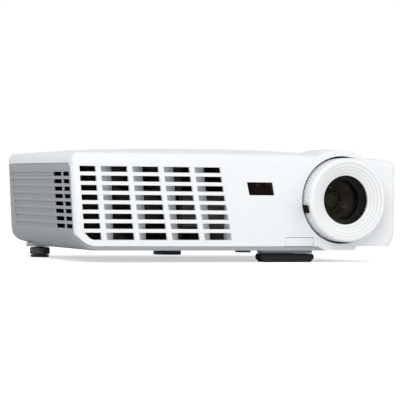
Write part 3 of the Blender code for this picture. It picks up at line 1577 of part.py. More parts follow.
def light_engine():
    front = FRONT_Y + BARREL_REAR + SEAM
    rear = front + ENGINE_DEPTH
    mesh = boxes("optical_engine", ((ENGINE_LEFT, front, SEAT), (ENGINE_RIGHT, rear, ENGINE_TOP)))
    engine = part("optical_engine", mesh, "aluminium")
    arm_front = FRONT_Y + ARM_BACK
    arm_rear = arm_front + ARM_WIDTH
    arm = boxes("engine_arm", ((ARM_LEFT, arm_front, SEAT), (ENGINE_LEFT + ARM_WALL, arm_rear, ARM_TOP)))
    channel = boxes(
        "engine_channel",
        (
            (ARM_LEFT - OVERRUN, arm_front + ARM_WALL, ARM_FLOOR),
            (ENGINE_LEFT + ARM_WALL * 2, arm_rear - ARM_WALL, ARM_TOP + OVERRUN),
        ),
    )
    bracket = boxes(
        "motor_bracket",
        (
            (ARM_LEFT, arm_rear - ARM_WALL, SEAT),
            (ARM_LEFT + BRACKET_THICK, arm_rear + BRACKET_WIDTH, ARM_TOP),
        ),
    )
    join(engine, cutter("engine_arm", arm))
    cut(engine, cutter("engine_channel", channel))
    join(engine, cutter("motor_bracket", bracket))
    middle = front + ENGINE_DEPTH / 4
    path_middle = [(LENS_X, middle - OVERRUN, LENS_Z)]
    path = rods("light_path", REAR_GLASS_RADIUS, ENGINE_DEPTH / 2, path_middle, 32, ALONG_Y)
    cut(engine, cutter("light_path", path))

    length, width, height = ROD_SIZE
    path_y = arm_front + ARM_WIDTH / 2
    mesh = boxes("integrator_rod", ((0, -width / 2, 0), (length, width / 2, height)))
    rod = part("integrator_rod", mesh, "glass")
    rod.location = (ARM_LEFT + ARM_WALL, path_y, ARM_FLOOR + SEAM)

    wheel_z = ARM_FLOOR + SEAM + height / 2
    wheel_y = arm_rear + BRACKET_WIDTH / 2 - ARM_WALL
    wheel_x = ARM_LEFT - WHEEL_SPACE
    mesh = rods("colour_wheel", WHEEL_RADIUS, WHEEL_THICK, [(0, 0, 0)], 48)
    wheel = part("colour_wheel", mesh, "glass", True)
    wheel.location = (wheel_x, wheel_y, wheel_z)
    wheel.rotation_euler = ALONG_X
    hub_middle = [(wheel_x - WHEEL_THICK, wheel_y, wheel_z)]
    hub = rods("wheel_hub", WHEEL_HUB, WHEEL_THICK * 2, hub_middle, 24, ALONG_X)
    join(wheel, cutter("wheel_hub", hub))
    start, end = wheel_x + WHEEL_THICK / 2 + SEAM, ARM_LEFT - SEAM
    mesh = rods("colour_wheel_motor", MOTOR_RADIUS, end - start, [(0, 0, 0)], 24)
    motor = part("colour_wheel_motor", mesh, "steel", True)
    motor.location = ((start + end) / 2, wheel_y, wheel_z)
    motor.rotation_euler = ALONG_X

    thick, wide, tall = CHIP_BOARD_SIZE
    y = (front + rear) / 2
    x = ENGINE_RIGHT + SEAM
    mesh = boxes("dmd_board", ((0, -wide / 2, 0), (thick, wide / 2, tall)))
    board = part("dmd_board", mesh, "board")
    board.location = (x, y, CHIP_BOARD_LOW)
    half = HEATSINK_SIZE / 2
    z = CHIP_BOARD_LOW + tall / 2
    start = x + thick + SEAM
    mesh = boxes("dmd_heatsink", ((0, -half, -half), (HEATSINK_BASE, half, half)))
    sink = part("dmd_heatsink", mesh, "aluminium")
    sink.location = (start, y, z)
    fins = bmesh.new()
    step = (HEATSINK_SIZE - FIN_THICK) / (HEATSINK_FINS - 1)
    for index in range(HEATSINK_FINS):
        low = z - half + step * index
        add_box(
            fins,
            (start + HEATSINK_BASE / 2, y - half, low),
            (start + HEATSINK_DEPTH, y + half, low + FIN_THICK),
        )
    join(sink, cutter("heatsink_fins", mesh_from(fins, "heatsink_fins")))


# Boards and speaker


def boards():
    left, right, front, rear = main_board_sides()
    low = main_board_low()
    mesh = boxes("main_board", ((left, front, low), (right, rear, low + BOARD_THICK)))
    part("main_board", mesh, "board")
    width, depth = POWER_BOARD_SIZE
    front = FRONT_Y + POWER_BOARD_BACK
    low = FLOOR + POWER_POST + SEAM
    x = POWER_BOARD_X - width / 2
    mesh = boxes("power_board", ((x, front, low), (x + width, front + depth, low + BOARD_THICK)))
    board = part("power_board", mesh, "board")
    wide, deep, tall = POWER_PART_SIZE
    pairs = []
    for index in range(3):
        start = x + POST_INSET + (wide + POST_RADIUS) * index
        height = tall * (1 - POWER_PART_FALL_SHARE * index)
        near = front + POST_INSET
        pairs.append(((start, near, low + SEAM), (start + wide, near + deep, low + height)))
    join(board, cutter("power_parts", boxes("power_parts", *pairs)))
    for name, (wide, deep, tall), x, back, finish in (
        ("lamp_ballast", BALLAST_SIZE, BALLAST_X, BALLAST_BACK, "dark_plastic"),
        ("speaker", SPEAKER_SIZE, SPEAKER_X, SPEAKER_BACK, "dark_plastic"),
    ):
        mesh = boxes(name, ((-wide / 2, 0, 0), (wide / 2, deep, tall)))
        item = part(name, mesh, finish)
        item.location = (x, FRONT_Y + back, SEAT)
    y = FRONT_Y + SPEAKER_BACK + SPEAKER_SIZE[1] / 2
    top = SEAT + SPEAKER_SIZE[2]
    dish = turned(
        "speaker_dish",
        [
            (0, OVERRUN),
            (SPEAKER_CONE, OVERRUN),
            (SPEAKER_CONE, 0),
            (SPEAKER_CONE / 3, -SPEAKER_DISH),
            (0, -SPEAKER_DISH),
        ],
        32,
        closed=False,
    )
    tool = cutter("speaker_dish", dish)
    tool.location = (SPEAKER_X, y, top)
    cut(item, tool)


# Terminals at the back


def tray_face():
    return REAR_Y - SEAM - TRAY_DEPTH + TRAY_FLOOR


def sub_d_outline(x, z, width, height):
    taper = height * 0.18
    half, tall = width / 2, height / 2
    return [
        (x - half, z + tall),
        (x - half + taper, z - tall),
        (x + half - taper, z - tall),
        (x + half, z + tall),
    ]


SOCKETS = (
    ("serial_port", "sub_d"),
    ("vga_socket", "sub_d"),
    ("hdmi_socket", "hdmi"),
    ("usb_socket", "usb"),
    ("s_video_socket", "wide_jack"),
    ("video_jack", "jack"),
    ("audio_in_jack", "small_jack"),
    ("audio_out_jack", "small_jack"),
)
SOCKET_SIZES = {
    "sub_d": (SUB_D_WIDTH, SUB_D_HEIGHT, SUB_D_DEPTH),
    "hdmi": (HDMI_WIDTH, HDMI_HEIGHT, HDMI_DEPTH),
    "usb": (USB_WIDTH, USB_HEIGHT, USB_DEPTH),
    "wide_jack": (JACK_WIDTH, JACK_HEIGHT, JACK_DEPTH),
    "jack": (JACK_WIDTH, JACK_HEIGHT, JACK_DEPTH),
    "small_jack": (SMALL_JACK_WIDTH, JACK_HEIGHT, JACK_DEPTH),
}


def socket_places():
    """Name, kind, middle in X, low side and body size of each socket."""
    x = TERMINAL_LEFT + TRAY_RIM + SOCKET_MARGIN
    for name, kind in SOCKETS:
        width, height, depth = SOCKET_SIZES[kind]
        yield name, kind, x + width / 2, socket_low(), (width, height, depth)
        x += width + SOCKET_SPACE


def terminal_panel():
    rear = REAR_Y - SEAM
    front = rear - TRAY_DEPTH
    right = TERMINAL_LEFT + TERMINAL_WIDTH
    top = TERMINAL_LOW + TERMINAL_HEIGHT
    mesh = boxes("terminal_panel", ((TERMINAL_LEFT, front, TERMINAL_LOW), (right, rear, top)))
    panel = part("terminal_panel", mesh, "dark_plastic")
    pocket = boxes(
        "panel_pocket",
        (
            (TERMINAL_LEFT + TRAY_RIM, front + TRAY_FLOOR, TERMINAL_LOW + TRAY_RIM),
            (right - TRAY_RIM, rear + OVERRUN, top - TRAY_RIM),
        ),
    )
    cut(panel, cutter("panel_pocket", pocket))
    fit = SOCKET_FIT
    pairs = []
    for _, _, x, low, (width, height, _) in socket_places():
        pairs.append(
            (
                (x - width / 2 - fit, front - OVERRUN, low - fit),
                (x + width / 2 + fit, front + TRAY_FLOOR + OVERRUN / 2, low + height + fit),
            )
        )
    cut(panel, cutter("socket_holes", boxes("socket_holes", *pairs)))


def sockets():
    face = tray_face()
    for name, kind, x, low, (width, height, depth) in socket_places():
        z = low + height / 2
        proud = SOCKET_PROUD if kind in ("hdmi", "usb") else 0
        finish = "steel" if kind in ("sub_d", "hdmi", "usb") else "dark_plastic"
        body = boxes(name, ((-width / 2, -depth, -height / 2), (width / 2, proud, height / 2)))
        item = part(name, body, finish)
        item.location = (x, face, z)
        if kind == "sub_d":
            shell_width, shell_height = SUB_D_SHELL_WIDTH, SUB_D_SHELL_HEIGHT
            outside = sub_d_outline(x, z, shell_width, shell_height)
            outer = slab_along_y(f"{name}_shell", outside, face - SEAM, face + SUB_D_PROUD)
            wall = SUB_D_SHELL_WALL * 2
            inside = sub_d_outline(x, z, shell_width - wall, shell_height - wall)
            opening = face + SUB_D_PROUD + OVERRUN
            inner = slab_along_y(f"{name}_hollow", inside, face + SOCKET_PROUD, opening)
            join(item, cutter(f"{name}_shell", outer))
            cut(item, cutter(f"{name}_hollow", inner))
        elif kind in ("hdmi", "usb"):
            half_x, half_z = width / 2 - SOCKET_SHELL, height / 2 - SOCKET_SHELL
            hollow = boxes(
                f"{name}_hollow",
                (
                    (x - half_x, face + proud - SOCKET_CAVITY, z - half_z),
                    (x + half_x, face + OVERRUN, z + half_z),
                ),
            )
            cut(item, cutter(f"{name}_hollow", hollow))
        else:
            radius, reach = JACK_RADIUS, JACK_PROUD
            if kind == "small_jack":
                radius, reach = SMALL_JACK_RADIUS, SMALL_JACK_PROUD
            if kind == "wide_jack":
                reach = SMALL_JACK_PROUD
            barrel_middle = [(x, face + (reach - SEAM) / 2, z)]
            barrel = rods(f"{name}_ring", radius, reach + SEAM, barrel_middle, 24, ALONG_Y)
            hole = rods(f"{name}_bore", JACK_BORE, depth, [(x, face + OVERRUN, z)], 16, ALONG_Y)
            join(item, cutter(f"{name}_ring", barrel))
            cut(item, cutter(f"{name}_bore", hole))


def mains_inlet():
    half_x, half_z = INLET_WIDTH / 2, INLET_HEIGHT / 2
    rear = REAR_Y - INLET_SET_IN
    z = INLET_LOW + half_z
    mesh = boxes("mains_inlet", ((-half_x, -INLET_DEPTH, -half_z), (half_x, 0, half_z)))
    item = part("mains_inlet", mesh, "dark_plastic")
    item.location = (INLET_X, rear, z)
    flange_rear = REAR_Y - WALL - SEAM
    flange = boxes(
        "inlet_flange",
        (
            (INLET_X - half_x - INLET_FLANGE, flange_rear - INLET_FLANGE_THICK, z - half_z - INLET_FLANGE),
            (INLET_X + half_x + INLET_FLANGE, flange_rear, z + half_z + INLET_FLANGE),
        ),
    )
    join(item, cutter("inlet_flange", flange))
    hollow = boxes(
        "inlet_hollow",
        (
            (INLET_X - half_x + INLET_WALL, rear - INLET_CAVITY, z - half_z + INLET_WALL),
            (INLET_X + half_x - INLET_WALL, rear + OVERRUN, z + half_z - INLET_WALL),
        ),
    )
    cut(item, cutter("inlet_hollow", hollow))
    pairs = []
    for across, up in ((-PIN_SPREAD, -PIN_DROP), (0, PIN_DROP), (PIN_SPREAD, -PIN_DROP)):
        x, height = INLET_X + across, z + up
        start = rear - INLET_CAVITY - SEAM
        pairs.append(
            (
                (x - PIN_THICK / 2, start, height - PIN_WIDTH / 2),
                (x + PIN_THICK / 2, start + PIN_LENGTH, height + PIN_WIDTH / 2),
            )
        )
    join(item, cutter("inlet_pins", boxes("inlet_pins", *pairs)))


def main():
    clear_scene()
    outer = body_form("outer", 0)
    inner = body_form("inner", WALL)
    top_cover(outer, inner)
    exhaust_vanes()
    bottom_case(outer, inner)
    lamp_door()
    tilt_foot()
    foot_button()
    rear_foot(-1, "rear_foot")
    rear_foot(1, "right_rear_foot")
    lens_parts()
    window_parts()
    keys()
    exhaust_fan()
    blower()
    lamp()
    light_engine()
    boards()
    terminal_panel()
    sockets()
    mains_inlet()


main()
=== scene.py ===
"""Looks of a portable lamp projector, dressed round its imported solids."""

import json
import math

import bpy
from mathutils import Matrix, Vector
from mathutils.bvhtree import BVHTree

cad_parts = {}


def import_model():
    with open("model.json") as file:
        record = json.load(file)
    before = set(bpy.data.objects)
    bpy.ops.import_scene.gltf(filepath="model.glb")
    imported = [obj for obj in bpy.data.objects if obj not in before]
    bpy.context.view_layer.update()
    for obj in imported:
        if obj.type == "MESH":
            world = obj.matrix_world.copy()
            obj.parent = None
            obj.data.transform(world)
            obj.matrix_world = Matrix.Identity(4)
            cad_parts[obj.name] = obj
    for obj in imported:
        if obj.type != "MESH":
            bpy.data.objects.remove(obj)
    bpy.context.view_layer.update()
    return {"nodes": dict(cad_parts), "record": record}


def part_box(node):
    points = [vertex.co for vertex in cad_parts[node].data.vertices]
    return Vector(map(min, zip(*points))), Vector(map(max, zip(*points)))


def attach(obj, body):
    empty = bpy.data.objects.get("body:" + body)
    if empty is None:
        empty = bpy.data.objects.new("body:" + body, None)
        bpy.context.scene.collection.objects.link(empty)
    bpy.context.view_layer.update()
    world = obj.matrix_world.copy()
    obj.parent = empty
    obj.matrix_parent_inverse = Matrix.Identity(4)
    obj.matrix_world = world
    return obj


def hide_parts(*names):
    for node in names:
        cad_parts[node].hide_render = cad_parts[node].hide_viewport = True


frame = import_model()
NODES = frame["nodes"]
BODY_OF = {node: body for body, names in frame["record"]["behaviour"]["bodies"].items() for node in names}
SLOT_OF = {row["node"]: row["material_slot"] for row in frame["record"]["subparts"]}
MM = 0.001

# Middle of the lens opening, in the plane of the body's front
FRONT = -0.1165
LENS = Vector((0.1009, FRONT, 0.0556))
BACKWARD = Vector((0, 1, 0))
LYING_ALONG_Y = (math.pi / 2, 0, 0)

# Vertices nearer than this are merged, in drawn pieces and in copies of solids
DRAWN_MERGE = 0.000002
SOLID_MERGE = 0.000004
FLAT_ANGLE = math.radians(0.6)
SHARP_ANGLE = math.radians(40)
BEVEL_STEPS = 2


# Working by hand: selection, edit mode and modifiers


def pick(piece):
    bpy.ops.object.select_all(action="DESELECT")
    piece.select_set(True)
    bpy.context.view_layer.objects.active = piece


def edit(piece):
    pick(piece)
    bpy.ops.object.mode_set(mode="EDIT")


def leave():
    bpy.ops.object.mode_set(mode="OBJECT")


def settle(piece):
    """Puts the place of a piece in its mesh, with its faces outwards."""
    edit(piece)
    bpy.ops.mesh.select_all(action="SELECT")
    bpy.ops.mesh.remove_doubles(threshold=DRAWN_MERGE)
    bpy.ops.mesh.normals_make_consistent(inside=False)
    leave()
    bpy.ops.object.transform_apply(location=True, rotation=True, scale=True)


def apply_all(piece):
    pick(piece)
    for name in [change.name for change in piece.modifiers]:
        bpy.ops.object.modifier_apply(modifier=name)


def soften(piece, width):
    """Rounds the sharp edges and shades the rest smooth."""
    edge = piece.modifiers.new("soft_edges", "BEVEL")
    edge.width = width
    edge.segments = BEVEL_STEPS
    edge.limit_method = "ANGLE"
    edge.angle_limit = SHARP_ANGLE
    edge.harden_normals = False
    apply_all(piece)
    bpy.ops.object.shade_smooth_by_angle(angle=SHARP_ANGLE)


def select_faces(piece, wanted):
    """Selects the faces of a piece in edit mode whose middle and normal pass a test."""
    bpy.ops.mesh.select_mode(type="FACE")
    bpy.ops.mesh.select_all(action="DESELECT")
    leave()
    for face in piece.data.polygons:
        face.select = wanted(face.center, face.normal)
    edit(piece)


def hand_over(piece, name, body, slot, finish, *nodes):
    """Names and finishes a piece, puts it on its body, and takes the place of the nodes given."""
    piece.name = name
    piece.data.name = name
    piece.data.materials.clear()
    piece.data.materials.append(finish)
    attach(piece, body)
    if nodes:
        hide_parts(*nodes)


def drawn_ring(points, segments):
    """A round piece on the lens's line, drawn out ring by ring from a circle.

    Points give radius and distance back from the body's front, in mm.
    """
    radius, back = points[0]
    here = LENS + BACKWARD * back * MM
    bpy.ops.mesh.primitive_circle_add(
        vertices=segments, radius=radius * MM, location=here, rotation=LYING_ALONG_Y
    )
    piece = bpy.context.object
    edit(piece)
    bpy.ops.mesh.select_mode(type="VERT")
    bpy.ops.mesh.select_all(action="SELECT")
    for wide, far in points[1:]:
        step = BACKWARD * (far - back) * MM
        bpy.ops.mesh.extrude_region_move(TRANSFORM_OT_translate={"value": step, "orient_type": "GLOBAL"})
        share = wide / radius
        here = LENS + BACKWARD * far * MM
        bpy.ops.transform.resize(value=(share, share, share), center_override=here)
        radius, back = wide, far
    leave()
    settle(piece)
    return piece


def block(low, high):
    """A cube primitive stretched between two corners, for shaping further."""
    low, high = Vector(low), Vector(high)
    bpy.ops.mesh.primitive_cube_add(size=1, location=(low + high) / 2, scale=high - low)
    piece = bpy.context.object
    bpy.ops.object.transform_apply(location=True, rotation=True, scale=True)
    return piece


def joined(pieces):
    """One piece of several, which keeps the first one's object."""
    pick(pieces[0])
    for piece in pieces:
        piece.select_set(True)
    bpy.ops.object.join()
    return pieces[0]


def arc(middle, radius, start, end, steps):
    """Points of a rounded corner, from one angle to another in degrees."""
    turns = [math.radians(start + (end - start) * index / steps) for index in range(steps + 1)]
    return [(middle[0] + radius * math.cos(turn), middle[1] + radius * math.sin(turn)) for turn in turns]


AXIS_RADIUS = 0.01


def cap(radius, front, rise, steps):
    """Points of a lens face from its rim in to its middle."""
    ball = (radius**2 + rise**2) / (2 * abs(rise))
    points = []
    for index in range(steps + 1):
        wide = radius * (1 - index / steps) or AXIS_RADIUS
        depth = math.sqrt(ball**2 - wide**2) - math.sqrt(ball**2 - radius**2)
        points.append((wide, front - math.copysign(depth, rise)))
    return points


# Shader effects that several finishes share

NOISE_ROUGHNESS = 0.55
SPARK_DETAIL = 3
CLOUD_SCALE = 34
CLOUD_DETAIL = 4
CLOUD_SHARE = 0.6
SPARK_SHARE = 0.25
CLOUD_MEAN = 0.5
GLOSS_SPREAD = 0.08
LINE_STRETCH = (0.04, 1, 1)
LINE_GLOSS_SPREAD = 0.16


def new_group(name, inputs, outputs):
    group = bpy.data.node_groups.new(name, "ShaderNodeTree")
    kinds = {"c": "NodeSocketColor", "f": "NodeSocketFloat"}
    for socket, kind, value in inputs:
        made = group.interface.new_socket(name=socket, in_out="INPUT", socket_type=kinds[kind])
        made.default_value = value
    for socket, kind in outputs:
        group.interface.new_socket(name=socket, in_out="OUTPUT", socket_type=kinds[kind])
    start = group.nodes.new("NodeGroupInput")
    end = group.nodes.new("NodeGroupOutput")
    return group, start, end


def wire(tree, *links):
    for source, target in links:
        tree.links.new(source, target)


def add(tree, kind, **values):
    node = tree.nodes.new(kind)
    for name, value in values.items():
        setattr(node, name, value)
    return node


def math_node(tree, operation, first, second):
    node = add(tree, "ShaderNodeMath", operation=operation)
    for socket, value in zip(node.inputs, (first, second)):
        if isinstance(value, (int, float)):
            socket.default_value = value
        else:
            tree.links.new(value, socket)
    return node.outputs[0]


def noise(tree, vector, scale, detail=2):
    node = add(tree, "ShaderNodeTexNoise")
    node.inputs["Detail"].default_value = detail
    node.inputs["Roughness"].default_value = NOISE_ROUGHNESS
    tree.links.new(vector, node.inputs["Vector"])
    if isinstance(scale, (int, float)):
        node.inputs["Scale"].default_value = scale
    else:
        tree.links.new(scale, node.inputs["Scale"])
    return node.outputs["Fac"]


SURFACE_OUTPUTS = [("Colour", "c"), ("Roughness", "f"), ("Height", "f")]


def moulded_grain():
    """Fine spark texture of moulded plastic, with a faint cloudiness in colour and gloss."""
    inputs = [
        ("Colour", "c", (0.8, 0.8, 0.8, 1)),
        ("Deep Colour", "c", (0.7, 0.7, 0.7, 1)),
        ("Grain", "f", 2200),
        ("Roughness", "f", 0.45),
        ("Spread", "f", GLOSS_SPREAD),
    ]
    group, start, end = new_group("moulded_grain", inputs, SURFACE_OUTPUTS)
    place = add(group, "ShaderNodeTexCoord").outputs["Object"]
    fine = noise(group, place, start.outputs["Grain"], SPARK_DETAIL)
    cloud = noise(group, place, CLOUD_SCALE, CLOUD_DETAIL)
    mix = add(group, "ShaderNodeMix", data_type="RGBA")
    cloudy = math_node(group, "MULTIPLY", cloud, CLOUD_SHARE)
    mixing = math_node(group, "ADD", cloudy, math_node(group, "MULTIPLY", fine, SPARK_SHARE))
    wire(group, (mixing, mix.inputs["Factor"]))
    wire(group, (start.outputs["Colour"], mix.inputs["A"]), (start.outputs["Deep Colour"], mix.inputs["B"]))
    wire(group, (mix.outputs["Result"], end.inputs["Colour"]), (fine, end.inputs["Height"]))
    centred = math_node(group, "SUBTRACT", cloud, CLOUD_MEAN)
    swing = math_node(group, "MULTIPLY", centred, start.outputs["Spread"])
    wire(group, (math_node(group, "ADD", start.outputs["Roughness"], swing), end.inputs["Roughness"]))
    return group


def brushed_lines():
    """Fine drawn lines along one direction, as on plated and milled metal."""
    inputs = [
        ("Colour", "c", (0.6, 0.6, 0.6, 1)),
        ("Deep Colour", "c", (0.5, 0.5, 0.5, 1)),
        ("Lines", "f", 900),
        ("Roughness", "f", 0.3),
    ]
    group, start, end = new_group("brushed_lines", inputs, SURFACE_OUTPUTS)
    place = add(group, "ShaderNodeTexCoord").outputs["Object"]
    stretch = add(group, "ShaderNodeMapping")
    stretch.inputs["Scale"].default_value = LINE_STRETCH
    wire(group, (place, stretch.inputs["Vector"]))
    lines = noise(group, stretch.outputs[0], start.outputs["Lines"])
    mix = add(group, "ShaderNodeMix", data_type="RGBA")
    wire(group, (lines, mix.inputs["Factor"]), (start.outputs["Colour"], mix.inputs["A"]))
    wire(group, (start.outputs["Deep Colour"], mix.inputs["B"]))
    wire(group, (mix.outputs["Result"], end.inputs["Colour"]))
    swing = math_node(group, "MULTIPLY", lines, LINE_GLOSS_SPREAD)
    wire(group, (math_node(group, "ADD", start.outputs["Roughness"], swing), end.inputs["Roughness"]))
    wire(group, (lines, end.inputs["Height"]))
    return group


GRAIN = moulded_grain()
BRUSHED = brushed_lines()


def principled(name, **values):
    finish = bpy.data.materials.new(name)
    finish.use_nodes = True
    shader = finish.node_tree.nodes["Principled BSDF"]
    for socket, value in values.items():
        shader.inputs[socket.replace("_", " ")].default_value = value
    return finish, finish.node_tree, shader


def with_effect(finish_parts, group, values, bump):
    """Places a shared effect in a finish, with its own values and depth of bump."""
    finish, tree, shader = finish_parts
    effect = add(tree, "ShaderNodeGroup", node_tree=group)
    for socket, value in values.items():
        effect.inputs[socket].default_value = value
    raised = add(tree, "ShaderNodeBump")
    raised.inputs["Strength"].default_value = 1
    raised.inputs["Distance"].default_value = bump
    wire(tree, (effect.outputs["Colour"], shader.inputs["Base Color"]))
    wire(tree, (effect.outputs["Roughness"], shader.inputs["Roughness"]))
    wire(tree, (effect.outputs["Height"], raised.inputs["Height"]))
    wire(tree, (raised.outputs[0], shader.inputs["Normal"]))
    return finish


def plastic(name, colour, deep, roughness, grain, bump, specular=0.5):
    parts = principled(name, Specular_IOR_Level=specular)
    values = {
        "Colour": (*colour, 1),
        "Deep Colour": (*deep, 1),
        "Grain": grain,
        "Roughness": roughness,
        "Spread": GLOSS_SPREAD,
    }
    return with_effect(parts, GRAIN, values, bump)


def metal(name, colour, deep, roughness, lines=900, bump=0.000008):
    parts = principled(name, Metallic=1.0)
    values = {"Colour": (*colour, 1), "Deep Colour": (*deep, 1), "Lines": lines, "Roughness": roughness}
    return with_effect(parts, BRUSHED, values, bump)


# Finishes: colour, deeper colour, roughness, grain per metre and depth of the grain in metres

WHITE = plastic("white_moulded", (0.880, 0.892, 0.905), (0.850, 0.864, 0.880), 0.46, 2600, 0.000008)
RING_WHITE = plastic("white_ring", (0.885, 0.893, 0.902), (0.862, 0.872, 0.884), 0.36, 3000, 0.000004)
GREY = plastic("grey_moulded", (0.355, 0.378, 0.400), (0.335, 0.358, 0.382), 0.50, 2400, 0.000010)
KEY_GREY = plastic("key_grey", (0.415, 0.435, 0.455), (0.39, 0.41, 0.43), 0.40, 2800, 0.000005)
BLACK = plastic("black_moulded", (0.018, 0.018, 0.020), (0.010, 0.010, 0.011), 0.52, 2000, 0.000012)
LENS_BLACK = plastic("lens_black", (0.012, 0.012, 0.013), (0.006, 0.006, 0.006), 0.34, 2600, 0.000004)
CHARCOAL = plastic(
    "charcoal_moulded", (0.028, 0.029, 0.032), (0.020, 0.021, 0.023), 0.55, 1800, 0.000016, specular=0.28
)
KNOB_GREY = plastic("knob_charcoal", (0.075, 0.077, 0.082), (0.058, 0.060, 0.064), 0.50, 1800, 0.000016)
# The shell's white made a little darker: painted shade on the vane faces deep in the grille
VANE_PAINTED_SHADE_WHITE = plastic("vane_white_painted_shade", (0.865, 0.878, 0.892), (0.840, 0.855, 0.870), 0.50, 2600, 0.000008)
MATT_BLACK = plastic(
    "matt_black", (0.004, 0.004, 0.004), (0.002, 0.002, 0.002), 0.65, 2000, 0.00001, specular=0.10
)
LENS_BROWN = plastic(
    "lens_baffle_brown", (0.007, 0.0045, 0.0035), (0.004, 0.003, 0.002), 0.40, 2600, 0.000004, specular=0.22
)
LENS_RED = plastic(
    "lens_stop_red", (0.012, 0.006, 0.003), (0.007, 0.004, 0.002), 0.30, 2600, 0.000004, specular=0.2
)
STATUS_MILK = plastic("status_milk", (0.60, 0.68, 0.76), (0.55, 0.63, 0.72), 0.30, 2600, 0.000004)
GOLD = metal("contact_gold", (0.80, 0.62, 0.30), (0.72, 0.55, 0.25), 0.22)
RUBBER = plastic("foot_rubber", (0.014, 0.014, 0.014), (0.022, 0.022, 0.022), 0.80, 1400, 0.00002)
STEEL = metal("plated_steel", (0.62, 0.62, 0.63), (0.48, 0.48, 0.50), 0.24)
CASTING = plastic("cast_metal", (0.60, 0.61, 0.62), (0.46, 0.47, 0.48), 0.42, 900, 0.00003)


def window_finish():
    """Dark red see-through plastic over the infrared eye."""
    finish, tree, shader = principled("window_tint", Roughness=0.10, Specular_IOR_Level=0.06)
    place = add(tree, "ShaderNodeTexCoord").outputs["Object"]
    cloud = noise(tree, place, 60, 1)
    ramp = add(tree, "ShaderNodeValToRGB")
    ramp.color_ramp.elements[0].position = 0.40
    ramp.color_ramp.elements[0].color = (0.003, 0.002, 0.002, 1)
    ramp.color_ramp.elements[1].position = 0.64
    ramp.color_ramp.elements[1].color = (0.014, 0.003, 0.002, 1)
    wire(tree, (cloud, ramp.inputs["Fac"]), (ramp.outputs["Color"], shader.inputs["Base Color"]))
    return finish


def glass_finish(name, colour, specular, roughness=0.0):
    finish, tree, shader = principled(
        name, Roughness=roughness, IOR=1.5, Specular_IOR_Level=specular, Transmission_Weight=1.0
    )
    place = add(tree, "ShaderNodeTexCoord").outputs["Object"]
    cloud = noise(tree, place, 20, 1)
    ramp = add(tree, "ShaderNodeValToRGB")
    ramp.color_ramp.elements[0].color = (*colour, 1)
    ramp.color_ramp.elements[1].color = (*[min(1.0, part * 1.03) for part in colour], 1)
    wire(tree, (cloud, ramp.inputs["Fac"]), (ramp.outputs["Color"], shader.inputs["Base Color"]))
    return finish


def front_glass_finish():
    """Coated front lens: dark and see-through, with a faint olive cast."""
    finish, tree, shader = principled(
        "front_glass",
        Roughness=0.03,
        IOR=1.5,
        Specular_IOR_Level=0.50,
        Alpha=0.20,
        Specular_Tint=(1.0, 0.88, 0.62, 1),
    )
    place = add(tree, "ShaderNodeTexCoord").outputs["Object"]
    ramp = add(tree, "ShaderNodeValToRGB")
    ramp.color_ramp.elements[0].color = (0.006, 0.004, 0.002, 1)
    ramp.color_ramp.elements[1].color = (0.006, 0.008, 0.002, 1)
    cloud = noise(tree, place, 25, 1)
    wire(tree, (cloud, ramp.inputs["Fac"]), (ramp.outputs["Color"], shader.inputs["Base Color"]))
    return finish


def coated_finish(name, tint, deep):
    """Inner lens face: nearly black, with its coating's colour in the reflections."""
    finish, tree, shader = principled(name, Metallic=1.0, Roughness=0.05)
    facing = add(tree, "ShaderNodeLayerWeight")
    facing.inputs["Blend"].default_value = 0.3
    ramp = add(tree, "ShaderNodeValToRGB")
    ramp.color_ramp.elements[0].color = (*deep, 1)
    ramp.color_ramp.elements[1].color = (*tint, 1)
    wire(tree, (facing.outputs["Facing"], ramp.inputs["Fac"]))
    wire(tree, (ramp.outputs["Color"], shader.inputs["Base Color"]))
    return finish


def board_finish():
    """Green solder mask with fine tracks."""
    finish, tree, shader = principled("circuit_board", Roughness=0.38, Specular_IOR_Level=0.5)
    place = add(tree, "ShaderNodeTexCoord").outputs["Object"]
    tracks = add(tree, "ShaderNodeTexBrick")
    tracks.inputs["Scale"].default_value = 160
    tracks.inputs["Mortar Size"].default_value = 0.012
    tracks.inputs["Color1"].default_value = (0.010, 0.105, 0.045, 1)
    tracks.inputs["Color2"].default_value = (0.012, 0.125, 0.052, 1)
    tracks.inputs["Mortar"].default_value = (0.030, 0.220, 0.100, 1)
    raised = add(tree, "ShaderNodeBump")
    raised.inputs["Distance"].default_value = 0.00004
    wire(tree, (place, tracks.inputs["Vector"]), (tracks.outputs["Color"], shader.inputs["Base Color"]))
    wire(tree, (tracks.outputs["Fac"], raised.inputs["Height"]))
    wire(tree, (raised.outputs[0], shader.inputs["Normal"]))
    return finish


def wheel_finish(middle):
    """Colour filter segments round the wheel."""
    finish, tree, shader = principled("wheel_filters", Roughness=0.08, Specular_IOR_Level=0.7)
    place = add(tree, "ShaderNodeTexCoord").outputs["Object"]
    centre = add(tree, "ShaderNodeMapping")
    centre.inputs["Location"].default_value = -middle
    turn = add(tree, "ShaderNodeMapping")
    turn.inputs["Rotation"].default_value = (0, math.pi / 2, 0)
    sweep = add(tree, "ShaderNodeTexGradient", gradient_type="RADIAL")
    ramp = add(tree, "ShaderNodeValToRGB")
    ramp.color_ramp.interpolation = "CONSTANT"
    shades = (
        (0.0, (0.5, 0.03, 0.02)),
        (0.25, (0.03, 0.35, 0.06)),
        (0.5, (0.03, 0.06, 0.5)),
        (0.75, (0.6, 0.5, 0.05)),
    )
    elements = ramp.color_ramp.elements
    elements[0].color, elements[1].color = (*shades[0][1], 1), (*shades[-1][1], 1)
    elements[1].position = shades[-1][0]
    for position, shade in shades[1:-1]:
        elements.new(position).color = (*shade, 1)
    wire(tree, (place, centre.inputs["Vector"]), (centre.outputs[0], turn.inputs["Vector"]))
    wire(tree, (turn.outputs[0], sweep.inputs["Vector"]), (sweep.outputs["Fac"], ramp.inputs["Fac"]))
    wire(tree, (ramp.outputs["Color"], shader.inputs["Base Color"]))
    return finish


